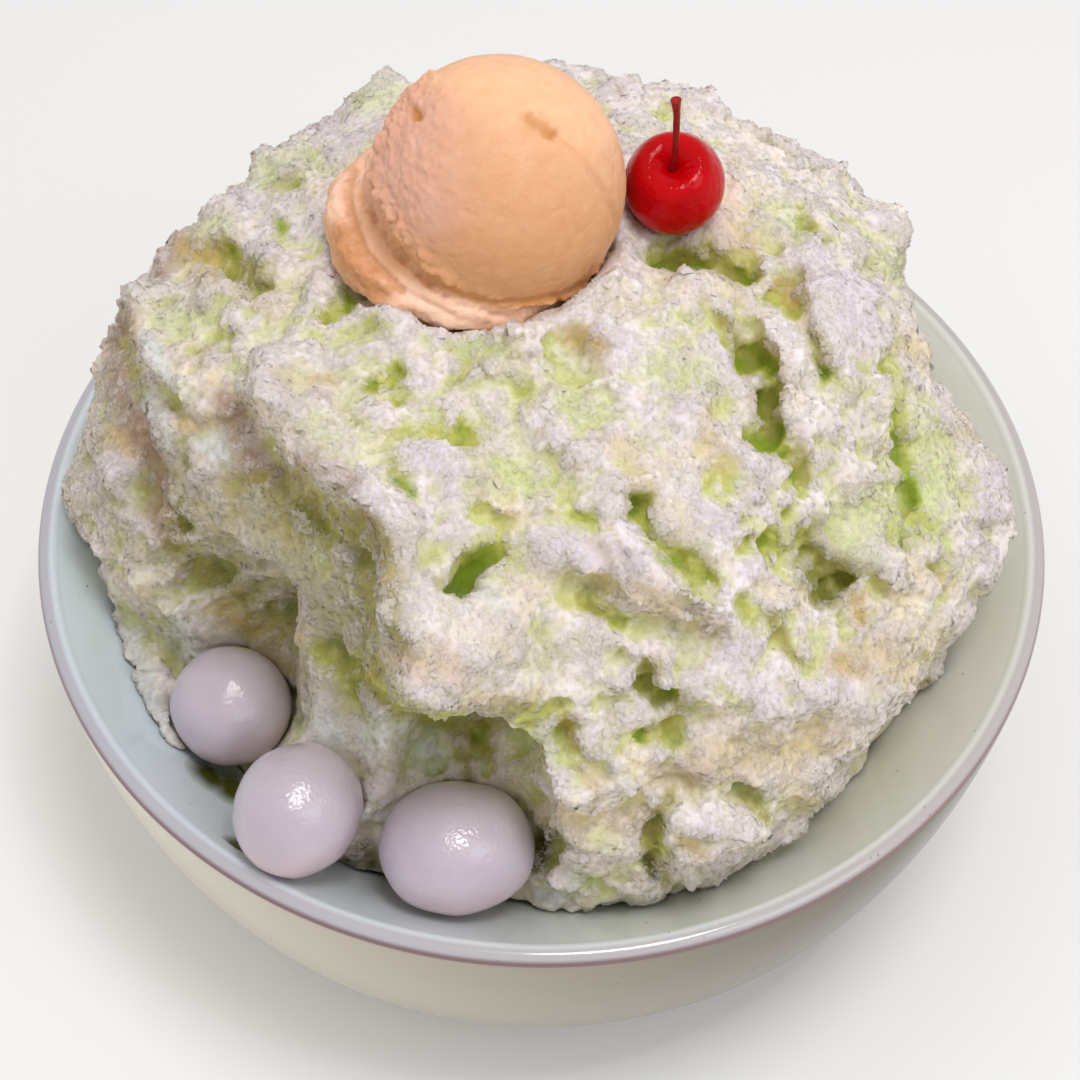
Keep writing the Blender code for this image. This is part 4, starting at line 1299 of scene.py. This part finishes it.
# Marks left by the scoop: half width in pixels, height in millimetres, how ragged, and their pixels
CREAM_MARKS = {
    "blade_edge": (6, 1.0, 0.7, (
        (432, 76), (396, 112), (374, 155), (374, 184), (401, 231), (430, 265), (468, 294), (511, 306),
        (559, 298), (597, 274), (626, 250))),
    "blade_groove": (6, -1.2, 0.8, (
        (384, 112), (361, 152), (360, 190), (388, 240), (418, 276), (458, 306), (508, 318), (562, 309),
        (606, 284))),
    "gouge": (8, -0.9, 0.2, ((528, 116), (554, 134))),
    "gouge_line": (3.5, -0.8, 0.2, ((554, 134), (583, 160), (607, 193), (621, 227))),
    "rim_line": (4, -0.3, 0.2, ((568, 83), (597, 112), (616, 155))),
    "fold_outer": (7, 0.9, 0.3, ((367, 131), (342, 168), (336, 205), (346, 250), (372, 285))),
    "fold_crease": (5, -1.0, 0.3, ((374, 128), (352, 166), (347, 205), (362, 250), (400, 290), (452, 316))),
    "fold_inner": (6, 0.8, 0.3, ((366, 178), (371, 214), (396, 258), (434, 292), (484, 316))),
    "patch_pit": (5, -1.0, 0.4, ((412, 108), (417, 116))),
    "low_pits": (3, -0.8, 0.9, ((430, 272), (458, 289), (492, 301), (520, 301), (560, 294), (602, 272))),
}
CREAM_TINTS = {
    # painted light on the crown of the ball, where the lamp falls
    "lit_top": srgb(252, 204, 166),
    # painted shade on the lower half and the middle of the ball
    "warm_shade": srgb(220, 166, 120),
    "frost": srgb(230, 182, 164),
    "pink": srgb(255, 218, 196),
    # painted shade in the folds and at the foot of the skirt
    "deep": srgb(206, 146, 92),
    "ochre": srgb(200, 138, 62),
}
CREAM_STROKES = {
    "lit_top": {
        "crown": (0.8, 36, ((470, 76), (540, 86), (590, 120))),
    },
    "warm_shade": {
        "low": (0.8, 50, ((420, 270), (480, 280), (540, 282), (600, 240))),
        "left": (0.8, 30, ((392, 214), (410, 240))), "middle": (0.45, 60, ((470, 200), (540, 210))),
    },
    "frost": {
        "patch": (0.9, 34, ((412, 112), (398, 150), (400, 186), (430, 210))),
        "patch_right": (0.5, 26, ((440, 120), (446, 170))),
    },
    "pink": {
        "skirt_left": (1.0, 18, ((352, 150), (338, 190), (342, 230), (372, 280), (440, 312), (520, 326))),
        "ledge": (0.8, 9, ((378, 128), (362, 158))),
        "skirt_low": (1.0, 18, ((400, 304), (460, 326), (520, 330), (570, 318))),
        "skirt_right": (0.6, 8, ((560, 312), (604, 288))),
    },
    "deep": {
        "skirt_foot": (0.9, 16, ((340, 236), (352, 262), (376, 290))),
        "crease": (0.7, 5, ((352, 166), (347, 205), (362, 250), (400, 290))),
    },
    "ochre": {
        "gouge": (0.7, 7, ((530, 117), (552, 132))), "pit": (0.9, 5, ((413, 109), (417, 116))),
        "low_pits": (0.7, 4, ((430, 274), (458, 291), (492, 303), (520, 303), (560, 296))),
        "crease_pits": (0.6, 4, ((358, 150), (372, 142))), "right": (0.4, 5, ((583, 280), (612, 262))),
    },
}
cream_back = np.array(CAMERA_AT) - cream_points
cream_back /= np.linalg.norm(cream_back, axis=1)[:, None]
cream_seen = np.clip((cream_normals * cream_back).sum(axis=1) * 4, 0, 1)
cream_place = picture_place(cream_points)
grit = cloudy_field(cream_points, 1.1, 0.8, 3)
clots = cloudy_field(cream_points, 2.6, 0.9, 3)
from_ball = np.linalg.norm(cream_points - np.array(BALL_AT), axis=1) - BALL_R
skirtness = np.clip((from_ball - 0.0002) / 0.0015, 0, 1)
patch = np.exp(-np.clip(along_line(*cream_place, ((412, 112), (396, 150), (400, 190)))[0] / 38, 0, None) ** 3)
rough = np.clip(0.22 + 0.75 * patch * cream_seen + 0.5 * skirtness, 0, 1)
lift = rough * (0.30 * grit + 0.40 * clots)
for i, place in enumerate(cream_points * 1000):
    fold = noise.noise(Vector((place[0] / 7, place[1] / 7, place[2] / 3)))
    dent = noise.noise(Vector((place[0] / 2.6, place[1] / 2.6, place[2] / 1.3)) + Vector((7, 7, 7)))
    lift[i] += 1.1 * fold * skirtness[i] - 0.5 * max(dent - 0.3, 0) * (1 - skirtness[i])
for width, height, torn, line in CREAM_MARKS.values():
    near = (along_line(*cream_place, line)[0] + 1.5 * torn * clots) / width
    torn_edge = 1 + torn * np.clip(0.7 * grit + 1.8 * clots, -0.9, 0.8)
    lift += height * np.exp(-(near**2)) * cream_seen * torn_edge
cream_points += cream_normals * (lift * 0.001)[:, None]
write_points(cream_mesh, cream_points)
cream_mesh.shade_smooth()
cream_tint = np.tile(np.array(PEACH[:3]), (len(cream_points), 1))
ragged_edge = 3 * clots + 2 * grit
cream_tint = lay_strokes(cream_tint, cream_place, ragged_edge, cream_seen, CREAM_STROKES, CREAM_TINTS)
hold_tint(cream_mesh, cream_tint)

cream_finish = food_finish(
    "peach_ice_cream", {"Scale": 320.0, "Detail": 4.0}, [srgb(238, 222, 206)],
    {"Scale": 1400.0, "Detail": 4.0}, (0.3, 0.0004), gloss=(0.38, 0.6), Specular_IOR_Level=0.35,
    Subsurface_Weight=0.4, Subsurface_Radius=(1.0, 0.6, 0.4), Subsurface_Scale=0.0015
)[0]
cream_mesh.materials.append(cream_finish)
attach(ball, "root")
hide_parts("ice_cream_scoop")

# ---------------------------------------------------------------------------------------------
# Cherry: preserved in red syrup, round and glossy, with a dimple at the top for the stalk. It lies
# on the ice beside the ball.
CHERRY_R = 0.0099
CHERRY_AT = Vector((0.0248, 0.0085, 0.1803))
CHERRY_AXIS = Vector((-0.14, -0.37, 0.92)).normalized()
DIMPLE_DEPTH, DIMPLE_REACH = 0.40, 0.34
SHOULDER_RISE, SHOULDER_AT, SHOULDER_WIDTH = 0.065, 0.66, 0.26
CHERRY_REDS = (srgb(168, 0, 4), srgb(190, 0, 12))

deselect()
bpy.ops.mesh.primitive_uv_sphere_add(segments=96, ring_count=64, radius=1.0)
cherry = bpy.context.object
cherry.name = "red_cherry"
tip = Vector((0, 0, 1)).rotation_difference(CHERRY_AXIS)
for vertex in cherry.data.vertices:
    ray = vertex.co.normalized()
    turn = ray.angle(Vector((0, 0, 1)))
    dimple = DIMPLE_DEPTH * math.exp(-((turn / DIMPLE_REACH) ** 2))
    dimple -= SHOULDER_RISE * math.exp(-(((turn - SHOULDER_AT) / SHOULDER_WIDTH) ** 2))
    wave = 0.012 * noise.noise(ray * 1.7)
    vertex.co = CHERRY_AT + tip @ (ray * CHERRY_R * (1 - dimple + wave))
cherry.data.shade_smooth()
red = food_finish(
    "syrup_cherry", {"Scale": 120.0, "Detail": 3.0}, CHERRY_REDS, {"Scale": 800.0, "Detail": 2.0},
    (0.4, 0.0005), wet=True, Roughness=0.12, Specular_IOR_Level=0.02,
    Coat_Weight=0.5, Coat_Roughness=0.02, Coat_IOR=1.3
)[0]
cherry.data.materials.append(red)
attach(cherry, "root")
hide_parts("cherry")

# ---------------------------------------------------------------------------------------------
# Stalk of the cherry: dyed with it, thin and dry, and thicker where it was picked from the twig.
# It grows out of the bottom of the cherry's dimple.
STEM_R, STEM_KNOB_R = 0.00068, 0.0010
STEM_REDS = (srgb(120, 6, 10), srgb(160, 20, 22))
STEM_STATIONS = 24
STEM_TIP = Vector((0.0233, 0.0036, 0.2050))
stem_foot = CHERRY_AT + CHERRY_AXIS * (CHERRY_R * (1 - DIMPLE_DEPTH) + 0.0001)
stem_curve = bpy.data.curves.new("red_stalk", "CURVE")
stem_curve.dimensions = "3D"
stem_curve.bevel_depth = 1.0
stem_curve.bevel_resolution = 4
stem_curve.use_fill_caps = True
stem_line = stem_curve.splines.new("POLY")
stem_line.points.add(STEM_STATIONS - 1)
for i, point in enumerate(stem_line.points):
    along = i / (STEM_STATIONS - 1)
    lean = Vector((0.0004, -0.0004, 0.0)) * math.sin(math.pi * along)
    wobble = noise.noise_vector(Vector((along * 5, 0, 0))) * 0.00008
    point.co = (*(stem_foot + (STEM_TIP - stem_foot) * along + lean + wobble), 1.0)
    point.radius = STEM_R + (STEM_KNOB_R - STEM_R) * max(0.0, (along - 0.80) / 0.2) ** 1.5
pick(placed_object("red_stalk", stem_curve))
bpy.ops.object.convert(target="MESH")
stalk = bpy.context.object
face_outwards(0.00001)
bpy.ops.object.shade_smooth_by_angle(angle=math.radians(50))
stalk_finish = food_finish(
    "dyed_stalk", {"Scale": 900.0, "Detail": 3.0}, STEM_REDS, {"Scale": 900.0, "Detail": 3.0},
    (0.4, 0.0002), Roughness=0.35, Specular_IOR_Level=0.25
)[0]
stalk.data.materials.clear()
stalk.data.materials.append(stalk_finish)
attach(stalk, "root")
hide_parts("cherry_stem")

# ---------------------------------------------------------------------------------------------
# Rice dumplings: dough of rice flour rolled by hand and boiled, so they are smooth and moist and
# no two are quite round. They are pushed in where the ice meets the bowl.
DUMPLINGS = {
    "dumpling_left": (Vector((-0.0670, -0.0525, 0.0836)), Vector((0.0128, 0.0132, 0.0126)), 25, 1),
    "dumpling_middle": (Vector((-0.0479, -0.0857, 0.0989)), Vector((0.0127, 0.0138, 0.0132)), -28, 2),
    "dumpling_right": (Vector((-0.0164, -0.0898, 0.0910)), Vector((0.0158, 0.0138, 0.0125)), 8, 3),
}
DOUGH, DOUGH_SHADED_UNDER = srgb(198, 188, 200), srgb(212, 184, 186)
dough = food_finish(
    "boiled_rice_dough", {"Scale": 110.0, "Detail": 4.0}, [srgb(240, 236, 240)],
    {"Scale": 1300.0, "Detail": 1.0}, (0.25, 0.0005), wet=True, Roughness=0.36,
    Subsurface_Weight=0.7, Subsurface_Radius=(1.0, 0.8, 0.8), Subsurface_Scale=0.003,
    Coat_Weight=0.7, Coat_Roughness=0.03
)[0]
for node_name, (at, size, turn, seed) in DUMPLINGS.items():
    deselect()
    bpy.ops.mesh.primitive_uv_sphere_add(segments=96, ring_count=64, radius=1.0)
    dumpling = bpy.context.object
    dumpling.name = node_name.replace("dumpling", "rice_dumpling")
    spin = Matrix.Rotation(math.radians(turn), 3, "Z")
    for vertex in dumpling.data.vertices:
        ray = vertex.co.normalized()
        uneven = 1 + 0.045 * noise.noise(ray * 1.5 + Vector((seed * 7, 0, 0)))
        uneven += 0.006 * noise.noise(ray * 4 + Vector((0, seed * 5, 0)))
        vertex.co = at + spin @ Vector(ray * size) * uneven
    dumpling.data.shade_smooth()
    # Painted shade: the undersides, turned down away from the lamps, take a rosier tint
    low = -read_normals(dumpling.data) @ np.array((0.0, 0.5, 0.87))
    share = np.clip(low * 1.1 + 0.1, 0, 1)[:, None]
    hold_tint(dumpling.data, np.array(DOUGH[:3]) * (1 - share) + np.array(DOUGH_SHADED_UNDER[:3]) * share)
    dumpling.data.materials.append(dough)
    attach(dumpling, "root")
    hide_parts(node_name)

# ---------------------------------------------------------------------------------------------
# Syrup that has run out of the heap, with painted shade: a thin dark green film on the glaze,
# deepest in pools where the dumplings and the ice meet the bowl, whose dark olive stands both for
# the syrup and for the contact shadows there.
POOLS = {
    "under_left": (212, 778, 27), "between_left": (236, 790, 36), "beside_middle": (238, 846, 18),
    "between": (368, 864, 26), "beside_right": (544, 862, 26), "clump_foot": (652, 890, 16),
}
FILM_RISE, FILM_SINK, FILM_THICK = 0.0005, 0.00012, 0.0006
FILM_LOW_R, FILM_HIGH_R = BEVEL_R + 0.0006, 0.1085
FILM_ROUND, FILM_OUT = 240, 26
FILM_START, FILM_END = math.radians(196), math.radians(292)

pool_places = [(np.array(on_glaze(x, y)), size * pixels_at(on_glaze(x, y))) for x, y, size in POOLS.values()]
film_points, film_depth = [], []
for i in range(FILM_ROUND):
    turn = FILM_START + (FILM_END - FILM_START) * i / (FILM_ROUND - 1)
    for radius in np.linspace(FILM_LOW_R, FILM_HIGH_R, FILM_OUT):
        at = np.array((radius * math.cos(turn), radius * math.sin(turn), bevel_height(radius)))
        blur = 0.15 * noise.fractal(Vector(at * 1000) / 6, 0.9, 2.0, 3)
        deep = max(math.exp(-((np.linalg.norm(at - spot) / size) ** 2)) for spot, size in pool_places)
        film_depth.append(max(deep + blur * math.sqrt(deep), 0))
        film_points.append(at + np.array((0, 0, FILM_RISE * min(film_depth[-1], 1.0) - FILM_SINK)))
corner = [i * FILM_OUT + k for i in range(FILM_ROUND - 1) for k in range(FILM_OUT - 1)]
film_mesh = bpy.data.meshes.new("syrup_and_shade_film")
film_mesh.from_pydata(film_points, [], [(c, c + 1, c + FILM_OUT + 1, c + FILM_OUT) for c in corner])
film = placed_object("syrup_and_shade_film", film_mesh)
# Syrup and painted shade: the tint runs from the glaze's own colour at the edge to dark olive in the pools
edge, syrup_and_shade_pool = np.array((GLAZE_LEFT_LIT[0][:3], srgb(74, 76, 14)[:3]))
share = np.clip((np.array(film_depth) - 0.22) / 0.6, 0, 1)[:, None] ** 0.8
hold_tint(film_mesh, edge * (1 - share) + syrup_and_shade_pool * share)
thick = film.modifiers.new("thick", "SOLIDIFY")
thick.thickness = FILM_THICK
thick.offset = -1.0
pick(film)
bpy.ops.object.modifier_apply(modifier=thick.name)
face_outwards()
film_mesh.shade_smooth()
bevel = math.radians(BEVEL_DEG)
film_ways = []
for vertex in film_mesh.vertices:
    inwards = Vector((-vertex.co.x, -vertex.co.y, 0)).normalized()
    film_ways.append(inwards * math.sin(bevel) + Vector((0, 0, math.cos(bevel))))
film_mesh.normals_split_custom_set_from_vertices(film_ways)
wet = food_finish(
    "green_syrup_and_shade", {"Scale": 260.0, "Detail": 2.0}, [srgb(238, 240, 228)],
    {"Scale": 260.0, "Detail": 2.0}, (0.2, 0.0004), Roughness=0.15
)[0]
film_mesh.materials.append(wet)
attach(film, "root")
